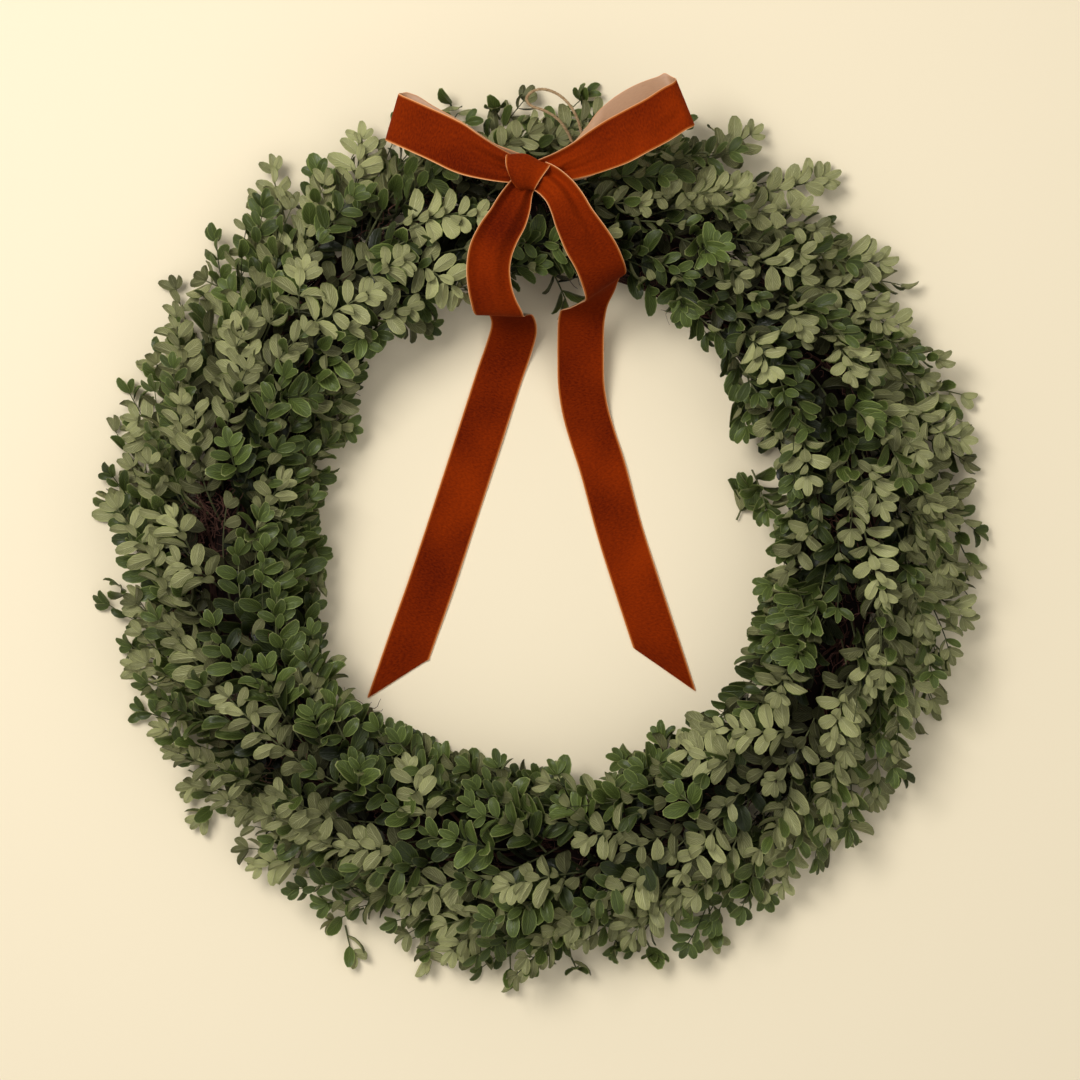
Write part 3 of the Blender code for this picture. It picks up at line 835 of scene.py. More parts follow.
@dataclass(frozen=True)
class FibreFinish:
    """Thin fibres: bark, stems, jute yarn and the woven sides of the ribbon.

    Attributes:
        name: The material's name.
        deep: Colour between the fibres.
        pale: Colour of the fibres.
        roughness: Least and greatest roughness.
        worn: What the roughness goes by, "Streaks" or "Patches".
        relief: Depth between the fibres, in metres.
        bump: Strength of that relief.
        streaks: Streaks in a unit along the UV map and across it.
        contrast: Span of the streaks' values and what it is spread to.
        own_shade: True where the shade attribute darkens it: each twig's own tone, and painted
            shade on the ring's thick strands.
        gloss: Strength of its plain reflections.
    """

    name: str
    deep: Colour
    pale: Colour
    roughness: Span
    worn: str = "Patches"
    relief: float = 0.08 * MM
    bump: float = 0.6
    streaks: Span = (8.0, 70.0)
    contrast: tuple[float, float, Span] | None = None
    own_shade: bool = False
    gloss: float = 0.5

    def build(self, effects: SharedEffects) -> Material:
        """Builds the material."""
        material, nodes, shader = new_material(self.name)
        along, across = self.streaks
        uv = nodes.place("UV")
        marks = effects.place(
            nodes, effects.fibre_streaks, Vector=uv, Along=along, Across=across
        ).outputs
        shade = marks["Streaks"]
        if self.contrast:
            shade = nodes.scaled(shade, *self.contrast)
        if self.own_shade:
            shade = nodes.times(nodes.tone(), shade)
        rough = nodes.scaled(marks[self.worn], *MIDDLE_OF_NOISE, self.roughness)
        colour = nodes.mix(shade, self.deep, self.pale)
        nodes.dress(colour, rough, marks["Streaks"], self.relief, self.bump)
        shader.inputs["Specular IOR Level"].default_value = self.gloss
        return material


@dataclass(frozen=True)
class VelvetFinish:
    """Cut pile of the ribbon's front, with its woven edge.

    Attributes:
        name: The material's name.
        deep: Colour where the pile leans away.
        pale: Colour where the pile is brushed up.
        edge: Colour of the woven edge.
        selvage: Colour of the narrow band between the pile and the edge.
        edge_start: Where the edge starts, from 0 at the middle to 1 at the ribbon's side.
        edge_blend: Width over which it comes in.
        selvage_span: How far before the edge the selvage starts and is whole.
        scales: Brushed patches and tufts of pile in a metre.
        shares: How much the patches and the nap lighten it, and the tufts darken it.
        roughness: Roughness of the pile and of the edge.
        sheen: Strength and roughness of the sheen of the pile's tips.
        sheen_tint: Its colour.
        gloss: Strength of the plain reflections.
        relief: Depth of the pile, in metres.
    """

    name: str = "rust_velvet_pile"
    deep: Colour = (0.058, 0.0028, 0.0001)
    pale: Colour = (0.295, 0.030, 0.0003)
    edge: Colour = (0.78, 0.35, 0.145)
    selvage: Colour = (0.36, 0.085, 0.012)
    edge_start: float = 0.955
    edge_blend: float = 0.025
    selvage_span: Span = (0.06, 0.03)
    scales: Span = (16.0, 2600.0)
    shares: Triple = (0.45, 0.4, 0.14)
    roughness: Span = (0.92, 0.55)
    sheen: Span = (0.22, 0.35)
    sheen_tint: Colour = (1.0, 0.16, 0.008)
    gloss: float = 0.06
    relief: float = 0.12 * MM

    def build(self, effects: SharedEffects) -> Material:
        """Builds the material."""
        material, nodes, shader = new_material(self.name)
        uv = nodes.place("UV")
        off_middle = nodes.off_middle(nodes.split(uv)[1])
        start = self.edge_start
        edge = nodes.scaled(off_middle, start, start + self.edge_blend)
        selvage = nodes.scaled(off_middle, *(start - off for off in self.selvage_span))
        nap = effects.place(nodes, effects.fibre_streaks, Vector=uv, Along=30.0, Across=14.0)
        pile = nodes.noise(nodes.place(), self.scales[1], 2.0)
        brushed = nodes.noise(nodes.place(), self.scales[0], 1.0)
        streaks = nodes.times(nap.outputs["Streaks"], self.shares[1])
        shade = nodes.plus(nodes.times(brushed, self.shares[0]), streaks)
        colour = nodes.mix(nodes.scaled(shade, 0.18, 0.68), self.deep, self.pale)
        colour = nodes.mix(nodes.times(pile, self.shares[2]), colour, self.deep)
        colour = nodes.mix(selvage, colour, self.selvage)
        colour = nodes.mix(edge, colour, self.edge)
        height = nodes.plus(pile, nodes.times(edge, 1.5))
        rough = nodes.scaled(edge, 0.0, 1.0, self.roughness)
        nodes.dress(colour, rough, height, self.relief, 0.7)
        for label, value in (
            ("Sheen Weight", self.sheen[0]),
            ("Sheen Roughness", self.sheen[1]),
            ("Sheen Tint", self.sheen_tint),
            ("Specular IOR Level", self.gloss),
        ):
            nodes.feed(shader.inputs[label], value)
        return material


@dataclass(frozen=True)
class WallFinish:
    """The plain pale surface under the wreath.

    Attributes:
        name: The material's name.
        deep: Its darker shade.
        pale: Its lighter shade.
        cloud_scale: Soft clouds of the lighter shade in a metre.
        roughness: Its roughness.
    """

    name: str = "cream_surface"
    deep: Colour = (0.885, 0.78, 0.572)
    pale: Colour = (0.90, 0.795, 0.587)
    cloud_scale: float = 1.2
    roughness: float = 0.9

    def build(self) -> Material:
        """Builds the material."""
        material, nodes, shader = new_material(self.name)
        cloud = nodes.noise(nodes.place(), self.cloud_scale)
        nodes.feed(shader.inputs["Base Color"], nodes.mix(cloud, self.deep, self.pale))
        shader.inputs["Roughness"].default_value = self.roughness
        return material


BARK = FibreFinish(
    name="dark_vine_bark", deep=(0.002, 0.001, 0.001), pale=(0.15, 0.068, 0.05),
    roughness=(0.8, 1.0), worn="Streaks", relief=0.4 * MM, bump=0.8, streaks=(26.0, 9.0),
    contrast=(0.2, 0.8, (0.5, 1.1)), own_shade=True, gloss=0.12,
)
STEM_SKIN = replace(
    BARK, name="stem_skin", deep=(0.03, 0.036, 0.014), pale=(0.17, 0.18, 0.08),
    roughness=(0.5, 0.7), relief=0.1 * MM,
)
JUTE = FibreFinish(
    name="jute_yarn", deep=(0.22, 0.13, 0.055), pale=(0.50, 0.35, 0.19), roughness=(0.8, 0.95),
    relief=0.2 * MM, bump=0.9, streaks=(70.0, 7.0), contrast=(*MIDDLE_OF_NOISE, (0.0, 1.0)),
)
SATIN_BACK = FibreFinish("peach_satin", (0.36, 0.19, 0.10), (0.56, 0.33, 0.19), (0.42, 0.54))
WOVEN_EDGE = FibreFinish("woven_edge", (0.60, 0.25, 0.10), (0.84, 0.42, 0.20), (0.55, 0.67))
# The near-black deep colours are painted shade, for leaves that lie deep in the body.
GREEN_SIDE = LeafFinish(
    name="leaf_green_side", deep=(0.002, 0.004, 0.0005), pale=(0.104, 0.142, 0.032),
    rim=(0.25, 0.32, 0.08), rib=(0.18, 0.24, 0.055), rim_share=0.7, vein_share=0.3,
    roughness=0.29, relief=0.3 * MM, vein_count=8.0, gloss=0.24,
)
SAGE_SIDE = LeafFinish(
    name="leaf_sage_side", deep=(0.003, 0.003, 0.0003), pale=(0.430, 0.437, 0.186),
    rim=(0.50, 0.51, 0.21), rib=(0.53, 0.53, 0.28), rim_share=0.5, vein_share=0.45,
    roughness=0.32, relief=0.5 * MM, vein_count=9.0, gloss=0.14,
)


# Studio


@dataclass
class Studio:
    """Camera, soft light from the upper left and a plain pale floor.

    Attributes:
        camera_height: Height of the camera over the surface that the wreath lies on.
        frame_width: Width of the picture at the wreath's middle height.
        middle_height: That height.
        sensor: Width of the camera's sensor, in millimetres.
        floor_size: Side of the floor.
        floor_drop: Depth of the floor under the wreath's back.
        lamps: Name, place, side and power in watts of the large soft lamp and of a weaker one.
        lamp_colour: Colour of both.
        sky: Colour of the light from all round.
        sky_strength: Its strength from the sides and from straight above.
    """

    camera_height: float = 3.0
    frame_width: float = 0.864
    middle_height: float = 0.05
    sensor: float = 36.0
    floor_size: float = 9.0
    floor_drop: float = 0.2 * MM
    lamps: tuple[tuple[str, Triple, float, float], ...] = (
        ("key_lamp", (-1.05, 0.86, 2.3), 1.1, 46.0),
        ("fill_lamp", (1.6, -0.9, 2.2), 1.6, 5.0),
    )
    lamp_colour: Colour = (1.0, 0.975, 0.94)
    sky: Colour = (1.0, 0.985, 0.955)
    sky_strength: Span = (0.16, 0.65)

    def build(self, centre: Vector) -> None:
        """Builds the studio round the ring's centre."""
        self._add_camera(centre)
        for lamp in self.lamps:
            self._add_lamp(*lamp)
        self._light_sky()
        self._add_floor()

    def _add_camera(self, centre: Vector) -> None:
        """Adds the camera that looks straight down, over the picture's middle."""
        x, y = photo_place(*MIDDLE_PIXEL)
        bpy.ops.object.camera_add(location=(centre.x + x, centre.y + y, self.camera_height))
        camera = bpy.context.object
        camera.name = "photo_camera"
        camera.data.sensor_width = self.sensor
        distance = self.camera_height - self.middle_height
        camera.data.lens = self.sensor * distance / self.frame_width
        camera.data.clip_start, camera.data.clip_end = 0.1, 100.0
        bpy.context.scene.camera = camera

    def _add_lamp(self, name: str, place: Sequence[float], size: float, power: float) -> None:
        """Adds a square lamp that faces the wreath."""
        bpy.ops.object.light_add(type="AREA", location=place)
        lamp = bpy.context.object
        lamp.name = name
        lamp.data.shape = "SQUARE"
        lamp.data.size = size
        lamp.data.energy = power
        lamp.data.color = self.lamp_colour
        lamp.rotation_euler = (-Vector(place)).to_track_quat("-Z", "Y").to_euler()

    def _light_sky(self) -> None:
        """Sets the even light from all round and the plain picture look."""
        world = bpy.data.worlds.new("soft_room")
        world.use_nodes = True
        background = world.node_tree.nodes["Background"]
        background.inputs["Color"].default_value = (*self.sky, 1.0)
        nodes = Nodes(world.node_tree)
        upward = nodes.split(nodes.place("Generated"))[2]
        strength = nodes.scaled(upward, 0.0, 1.0, self.sky_strength)
        nodes.feed(background.inputs["Strength"], strength)
        bpy.context.scene.world = world
        bpy.context.scene.view_settings.view_transform = "Standard"
        bpy.context.scene.view_settings.look = "None"

    def _add_floor(self) -> None:
        """Adds the surface that the wreath lies on."""
        bpy.ops.mesh.primitive_grid_add(
            x_subdivisions=4,
            y_subdivisions=4,
            size=self.floor_size,
            location=(0.0, 0.0, -self.floor_drop),
        )
        floor = bpy.context.object
        floor.name = "floor"
        floor.data.materials.append(WallFinish().build())


# Hanging loop

TWINE_ROUTE = (
    (38.0, 285.0, 53.6), (39.5, 294.5, 61.0), (38.5, 306.0, 72.0), (34.5, 319.0, 81.5),
    (30.5, 331.0, 87.0), (24.0, 341.5, 88.0), (15.5, 349.0, 87.0), (5.5, 353.0, 85.0),
    (-3.5, 352.0, 83.5), (-9.0, 346.5, 82.0), (-5.5, 340.5, 81.5), (5.5, 336.5, 81.0),
    (16.0, 330.0, 78.5), (24.0, 319.5, 73.5), (28.5, 307.5, 67.5), (29.5, 296.0, 61.0),
    (29.0, 286.0, 53.6),
)


@dataclass
class HangingLoop:
    """The loop of three-ply jute twine at the top.

    Attributes:
        diameter: The twine's diameter.
        plies: Yarns laid round each other.
        lay_length: Length of one turn of a yarn.
        spacing: Distance between the route's points.
        yarn_offset: Distance of a yarn's middle from the twine's, as a share of the diameter.
        yarn_radius: Radius of a yarn, as the same share.
        tone: Shade of the yarns.
    """

    diameter: float = 2.5 * MM
    plies: int = 3
    lay_length: float = 8 * MM
    spacing: float = 1.0 * MM
    yarn_offset: float = 0.24
    yarn_radius: float = 0.27
    tone: float = 0.5

    def build(self, centre: Vector, jute: Material) -> Piece:
        route = smooth_route(np.array(TWINE_ROUTE) * MM + np.array(centre), self.spacing)
        length = float(np.linalg.norm(np.diff(route, axis=0), axis=1).sum())
        along = unit_rows(np.gradient(route, axis=0))
        up = Rod.carried(along)
        side = np.cross(along, up)
        rod = Rod(sides=6, steps=len(route) - 1)
        template = rod.model()
        gathered = Gathered()
        travelled = np.linspace(0, length, len(route))
        for ply in range(self.plies):
            turn = 2 * pi * (travelled / self.lay_length + ply / self.plies)
            offset = self.diameter * self.yarn_offset
            line = route + (side * np.cos(turn)[:, None] + up * np.sin(turn)[:, None]) * offset
            radii = np.full(len(route), self.diameter * self.yarn_radius)
            gathered.add(template, rod.sweep(template, line, radii), self.tone)
        twine = gathered.build("twine_loop", [jute], 60)
        finish_piece(twine, ["hanging_loop"], "jute_twine")
        LOG.info("twine length %.0f mm", length / MM)
        return twine


# Vine ring


@dataclass
class VineRing:
    """Twisted bundles of twigs with finer vine wound over them and curly ends that stick out.

    Attributes:
        bundles: Thick strands that wind round the ring.
        turns: Turns of a strand in one round.
        bundle_radius: Radius of a strand.
        winders: Thin vines over the strands.
        curls: Loose curly ends.
        gap_curls: More of them for each millimetre of radius of an opening in the foliage.
        bundle_share: Place of the strands between the ring's middle and its outline.
        bundle_painted_shade: Shade of the strands: near black, painted shade for their place deep
            under the foliage.
        winder_arcs: Span of a thin vine's arc round the ring, in radians.
        winder_radii: Span of its radius, in millimetres.
        curl_lengths: Span of a loose end's length, in millimetres.
        curl_radii: Span of its radius, in millimetres.
        gaps: Least distance from the surface of strands, thin vines and loose ends.
        seed: Seed of the random draws.
    """

    bundles: int = 5
    turns: int = 2
    bundle_radius: float = 11.5 * MM
    winders: int = 60
    curls: int = 800
    gap_curls: float = 3.0
    bundle_share: float = 0.6
    bundle_painted_shade: float = 0.06
    winder_arcs: Span = (1.4, 3.4)
    winder_radii: Span = (0.9, 1.9)
    curl_lengths: Span = (14, 34)
    curl_radii: Span = (0.3, 0.6)
    gaps: Triple = (0.2 * MM, 0.3 * MM, 1.0 * MM)
    seed: int = 5

    def build(self, centre: Vector, bark: Material) -> Piece:
        """Builds the whole ring as one piece."""
        gathered = Gathered()
        draw = random.Random(self.seed)
        self._add_bundles(gathered, centre)
        self._add_winders(gathered, centre, draw)
        self._add_curls(gathered, centre, draw)
        ring = gathered.build("vine_twigs", [bark], 60)
        return finish_piece(ring, ["vine_ring"], "twisted_vine")

    def _tube_line(
        self, centre: Vector, theta: np.ndarray, phi: np.ndarray, share: np.ndarray
    ) -> np.ndarray:
        """Points on an elliptical tube inside the ring's outline."""
        radius = RING_RADIUS + RING_HALF_WIDTH * share * np.cos(phi)
        height = RING_MID_HEIGHT + RING_HALF_HEIGHT * share * np.sin(phi)
        line = np.column_stack([radius * np.cos(theta), radius * np.sin(theta), height])
        return line + np.array(centre)

    def _add_bundles(self, gathered: Gathered, centre: Vector) -> None:
        """Adds the thick strands, closed round the ring."""
        rod = Rod(sides=9, steps=128)
        template = rod.model()
        theta = np.linspace(0, 2 * pi, rod.steps + 1)
        for index in range(self.bundles):
            phi = 2 * pi * index / self.bundles + self.turns * theta
            line = self._tube_line(centre, theta, phi, np.full(len(theta), self.bundle_share))
            knots = 1 + 0.06 * np.sin(theta * 23 + index) + 0.05 * np.sin(theta * 41 + 2 * index)
            radii = self.bundle_radius * knots
            line[:, 2] = np.maximum(line[:, 2], radii + self.gaps[0])
            # The strands get a near-black painted shade, as they lie deep in the foliage's shadow.
            gathered.add(template, rod.sweep(template, line, radii), self.bundle_painted_shade)

    def _add_winders(self, gathered: Gathered, centre: Vector, draw: random.Random) -> None:
        """Adds thin vines that wander over the strands."""
        rod = Rod(sides=4, steps=80)
        template = rod.model()
        for _ in range(self.winders):
            start = draw.uniform(0, 2 * pi)
            theta = start + np.linspace(0, draw.uniform(*self.winder_arcs), rod.steps + 1)
            pace = draw.choice((-1, 1)) * draw.uniform(1.5, 4.5)
            wander = draw.uniform(0, 6)
            phi = draw.uniform(0, 2 * pi) + pace * theta + 0.4 * np.sin(theta * 7 + wander)
            share = 0.93 + 0.06 * np.sin(theta * 11 + wander)
            line = self._tube_line(centre, theta, phi, share)
            radius = draw.uniform(*self.winder_radii) * MM
            line[:, 2] = np.maximum(line[:, 2], radius + self.gaps[1])
            radii = radius * (1 - 0.5 * np.linspace(0, 1, rod.steps + 1) ** 3)
            gathered.add(template, rod.sweep(template, line, radii), draw.uniform(0.1, 0.6))

    def _add_curls(self, gathered: Gathered, centre: Vector, draw: random.Random) -> None:
        """Adds loose curly ends all round the ring's upper side."""
        rod = Rod(sides=3, steps=10)
        template = rod.model()
        share = np.linspace(0, 1, rod.steps + 1)
        places = [
            (draw.uniform(0, 2 * pi), draw.uniform(-0.1, 2.5)) for _ in range(self.curls)
        ]
        for x, y, radius, _ in GAPS:
            gap_x, gap_y = photo_place(x, y)
            off = (hypot(gap_x, gap_y) - RING_RADIUS) / RING_HALF_WIDTH
            theta, phi = atan2(gap_y, gap_x), acos(max(-1.0, min(1.0, off)))
            for _ in range(int(self.gap_curls * radius)):
                places.append((draw.gauss(theta, radius * MM / RING_RADIUS), draw.gauss(phi, 0.35)))
        for theta, phi in places:
            root = section_point(theta, phi, draw.uniform(-0.1, 0.5)) + centre
            _, clockwise = ring_directions(theta)
            way = section_normal(theta, phi + draw.uniform(-0.9, 0.9)) * draw.uniform(0.1, 0.7)
            way = (way + clockwise * draw.uniform(-0.6, 1.0)).normalized()
            side = way.cross(Vector((draw.uniform(-1, 1), draw.uniform(-1, 1), 1.0))).normalized()
            other = way.cross(side)
            size, twist = draw.uniform(1.2, 4.0) * MM, draw.uniform(4, 12)
            length = draw.uniform(*self.curl_lengths) * MM
            line = (
                np.array(root)
                + np.outer(share * length, way)
                + np.outer(np.sin(share * twist) * size, side)
                + np.outer((np.cos(share * twist * 1.2) - 1) * size, other)
            )
            line[:, 2] = np.maximum(line[:, 2], self.gaps[2])
            radii = draw.uniform(*self.curl_radii) * MM * (1 - 0.6 * share)
            gathered.add(template, rod.sweep(template, line, radii), draw.uniform(0.5, 1.0))


# Ribbon bow

LEFT_TAIL = (
    (-9.0, 278.0, 120, -32, 0.45), (-13.5, 270.5, 121.5, -28, 0.54),
    (-18.2, 260.2, 122.5, -22, 0.70), (-23.6, 248.3, 122, -21, 0.80),
    (-31.2, 235.8, 119.5, -21, 0.86), (-36.9, 222.8, 115, -15, 0.90),
    (-39.0, 208.8, 109.5, -5, 0.90), (-37.6, 194.6, 103.5, -1, 0.90),
    (-34.6, 183.6, 97, -1, 0.92), (-31.2, 175.6, 88, -1, 0.99), (-29.8, 174.2, 78, -2, 1),
    (-27.4, 177.0, 58, -3, 1), (-22.5, 178.2, 35, -6, 1), (-19.5, 168.0, 15, -14, 1),
    (-24.5, 150.0, 4, -18, 1), (-31.5, 130.0, 1.6, -18, 1), (-46.4, 83.8, 2.4, -18, 1),
    (-66.5, 22.0, 1.4, -18, 1), (-86.2, -37.4, 2.2, -18, 1), (-102.0, -82.0, 1.4, -19, 1),
    (-113.9, -116.3, 1.6, 33, 1),
)
RIGHT_TAIL = (
    (0.0, 281.5, 126, 58, 0.60), (8.0, 276.4, 131, 55, 0.64), (16.0, 268.6, 133, 50, 0.68),
    (22.5, 258.5, 131.5, 44, 0.75), (28.5, 246.4, 127, 38, 0.84), (37.8, 231.2, 119, 29, 0.97),
    (45.5, 219.0, 111, 23, 1), (50.8, 207.5, 102, 24, 1), (53.6, 199.0, 91, 31, 1),
    (53.2, 196.4, 82, 34, 1), (50.0, 196.0, 70, 35, 1), (44.5, 191.5, 56, 28, 1),
    (37.8, 184.5, 42, 13, 1), (35.0, 173.5, 31, 3, 1), (34.4, 160.0, 24, 0, 1),
    (34.4, 143.0, 19, 0, 1), (35.0, 122.0, 13, 2, 1), (38.5, 101.0, 6, 12, 1),
    (44.3, 81.0, 2.0, 16, 1), (53.0, 53.7, 2.6, 17, 1), (66.2, 4.9, 1.4, 17, 1),
    (79.5, -37.4, 2.4, 18, 1), (103.0, -109.0, 1.6, -35, 1),
)
# Furrows of the tails where they leave the knot, as a band's creases are given
LEFT_CREASES = ((0, 0.10, 20, 0.0, 5.0, 4.0), (4, -0.45, 24, -0.6, 2.2, 3.0))
RIGHT_CREASES = ((0, -0.25, 56, -0.12, 4.6, 3.4), (6, 0.45, 30, 0.55, 2.2, 3.2))

# Once round the knot, from its back over its top and down its front
KNOT_ROUTE = (
    (-10.0, 283.5, 111, -14, 0.86), (-8.0, 290.5, 113, -12, 0.92),
    (-7.0, 295.0, 119, -11.6, 0.94), (-7.2, 294.8, 128, -11.6, 0.95),
    (-8.6, 290.2, 133, -12, 0.90), (-10.5, 283.8, 135, -13.7, 0.79),
    (-11.8, 277.6, 133.5, -18, 0.65), (-12.6, 272.6, 129, -24, 0.54),
    (-12.4, 271.8, 120, -24, 0.56), (-11.4, 276.5, 113, -20, 0.74),
    (-10.0, 283.5, 111, -14, 0.86),
)


@dataclass
class RibbonSlice:
    """One slice across a ribbon.

    Attributes:
        place: Its middle.
        across: Direction of its width.
        share: Share of the full width that it spans, the rest being taken up by pleats.
    """

    place: Vector
    across: Vector
    share: float


@dataclass
class RibbonBand:
    """A stretch of ribbon as a sheet: its pile side, its woven back and its edges.

    Attributes:
        name: The piece's name.
        slices: Its slices, from the knot outwards.
        turned: True where the pile side is the slices' other side.
        closed: True where the last slice meets the first.
        pleats: Waves across the ribbon where it is gathered.
        wave: Phase of those waves.
        pleat_height: Greatest height of those waves.
        creases: Furrows pressed into the pile side. Each has its start and its end, as distance
            along the ribbon in millimetres and place across it from -1 to 1, and its depth and
            width in millimetres.
        columns: Faces across it.
        width: Width of the ribbon.
        thickness: Its thickness.
    """

    name: str
    slices: list[RibbonSlice]
    turned: bool = False
    closed: bool = False
    pleats: float = 1.5
    wave: float = 0.0
    pleat_height: float = 6.5 * MM
    creases: Sequence[Crease] = ()
    columns: int = 14
    width: float = 38 * MM
    thickness: float = 0.9 * MM

    def lengths(self) -> float:
        """Length of the stretch along its middle."""
        return sum((b.place - a.place).length for a, b in zip(self.slices, self.slices[1:]))

    def build(self, materials: Sequence[Material]) -> Piece:
        """Shapes a grid into the stretch and gives it its thickness."""
        rows = len(self.slices) - 1
        deselect_all()
        bpy.ops.mesh.primitive_grid_add(
            x_subdivisions=rows, y_subdivisions=self.columns, size=2.0, location=(0, 0, 0)
        )
        item = bpy.context.object
        item.name = item.data.name = self.name
        flat = read_values(item.data.vertices, "co", 3)
        row = np.round((flat[:, 0] + 1) / 2 * rows).astype(int)
        item.data.vertices.foreach_set("co", self._shaped(row, flat[:, 1]).ravel())
        self._scale_uv(item)
        for material in materials:
            item.data.materials.append(material)
        edit_all()
        if self.closed:
            bpy.ops.mesh.remove_doubles(threshold=0.02 * MM)
        if self.turned:
            bpy.ops.mesh.flip_normals()
        object_mode()
        self._thicken(item)
        return item

    def _shaped(self, row: np.ndarray, across: np.ndarray) -> np.ndarray:
        """Vertex places of the grid, laid through the slices."""
        places = np.array([slice_.place for slice_ in self.slices])
        widths = np.array([slice_.across for slice_ in self.slices])
        shares = np.array([slice_.share for slice_ in self.slices])
        run = unit_rows(np.gradient(places, axis=0))
        if self.closed:
            run[0] = run[-1] = unit_rows((places[1] - places[-2])[None])[0]
        normals = unit_rows(np.cross(run, widths))
        slant = np.linalg.norm(np.cross(run, widths), axis=1)
        half = self.width / 2 * shares
        fullness = np.sqrt(np.maximum(1 / np.maximum(shares, LEAST_SHARE) - 1, 0))
        height = np.minimum(2 * half / (pi * self.pleats) * fullness, self.pleat_height)
        waves = np.sin(pi * self.pleats * across + self.wave) * height[row]
        rise = waves - self._furrows(places, row, across)
        return (
            places[row]
            + widths[row] * (across * half[row] / slant[row])[:, None]
            + normals[row] * rise[:, None]
        )

    def _furrows(self, places: np.ndarray, row: np.ndarray, across: np.ndarray) -> np.ndarray:
        """Depth of the creases at each vertex."""
        steps = np.linalg.norm(np.diff(places, axis=0), axis=1)
        run = np.concatenate([[0.0], np.cumsum(steps)])[row]
        side = across * self.width / 2
        depth = np.zeros(len(row))
        for start, start_side, end, end_side, deep, wide in self.creases:
            origin = np.array((start * MM, start_side * self.width / 2))
            line = np.array((end * MM, end_side * self.width / 2)) - origin
            off = np.column_stack([run, side]) - origin
            share = np.clip(off @ line / (line @ line), 0, 1)
            away = np.linalg.norm(off - share[:, None] * line, axis=1)
            depth += deep * MM * np.exp(-((away / (wide * MM)) ** 2)) * (1 - 0.5 * share)
        return depth * (-1 if self.turned else 1)

    def _scale_uv(self, item: Piece) -> None:
        """Makes U run along the ribbon in units of its width."""
        layer = item.data.uv_layers[0].data
        uvs = read_values(layer, "uv", 2)
        uvs[:, 0] *= self.lengths() / self.width
        layer.foreach_set("uv", uvs.ravel())

    def _thicken(self, item: Piece) -> None:
        """Adds the woven back and smooths the cloth."""
        solid = item.modifiers.new("thickness", "SOLIDIFY")
        solid.thickness = self.thickness
        solid.offset = -1.0
        solid.material_offset = 1
        solid.material_offset_rim = 2
        soft = item.modifiers.new("soft", "SUBSURF")
        soft.levels = soft.render_levels = 1
        soft.uv_smooth = "PRESERVE_BOUNDARIES"
        for modifier in ("thickness", "soft"):
            bpy.ops.object.modifier_apply(modifier=modifier)
        bpy.ops.object.shade_smooth_by_angle(angle=radians(50))


@dataclass(frozen=True)
class LoopShape:
    """One loop of the bow.

    Attributes:
        name: The piece's name.
        end: Place of its far end from the ring's centre, in millimetres.
        angle: Angle of the ribbon's width there, in degrees.
        height: Height of that end over the surface, in millimetres.
        gap: Distance from there down to its back layer, in millimetres.
        slips: Sideways slip of the back layer in millimetres, at shares of the loop's length.
        bends: Sideways bend of both layers, given in the same way.
        turned: True where the pile is on the other side of its slices.
        creases: Its furrows, given as a band's are.
    """

    name: str
    end: Span
    angle: float
    height: float
    gap: float
    slips: Sequence[Span]
    bends: Sequence[Span]
    turned: bool
    creases: Sequence[Crease]


LOOPS = (
    LoopShape(
        name="left_loop",
        end=(-114.9, 327.5),
        angle=74,
        height=115,
        gap=20,
        slips=((0.04, 4), (0.2, 3.5), (0.28, 2), (0.55, 2), (0.75, 3.5), (0.92, 6)),
        bends=((0.04, -1), (0.2, -4.2), (0.38, -4.6), (0.62, -1.8), (0.92, 0)),
        turned=True,
        creases=(
            (16, -0.4, 60, -0.3, 4.0, 3.0), (12, 0.2, 44, 0.35, 2.4, 3.2),
            (88, 0.5, 108, -0.6, 1.4, 4.5),
        ),
    ),
    LoopShape(
        name="right_loop",
        end=(116.5, 338.0),
        angle=112,
        height=118,
        gap=22,
        slips=((0.04, 0), (0.33, 1), (0.45, 6), (0.6, 13.5), (0.77, 16), (0.92, 11)),
        bends=((0.04, -2), (0.15, -5), (0.3, -6.5), (0.54, -5), (0.8, -2.5), (0.92, 0)),
        turned=False,
        creases=(
            (22, 0.0, 64, 0.14, 4.0, 3.0), (12, -0.3, 40, -0.45, 2.4, 3.2),
            (120, -0.3, 98, -0.5, 2.6, 3.0), (74, -0.8, 90, 0.6, 1.3, 5.0),
        ),
    ),
)


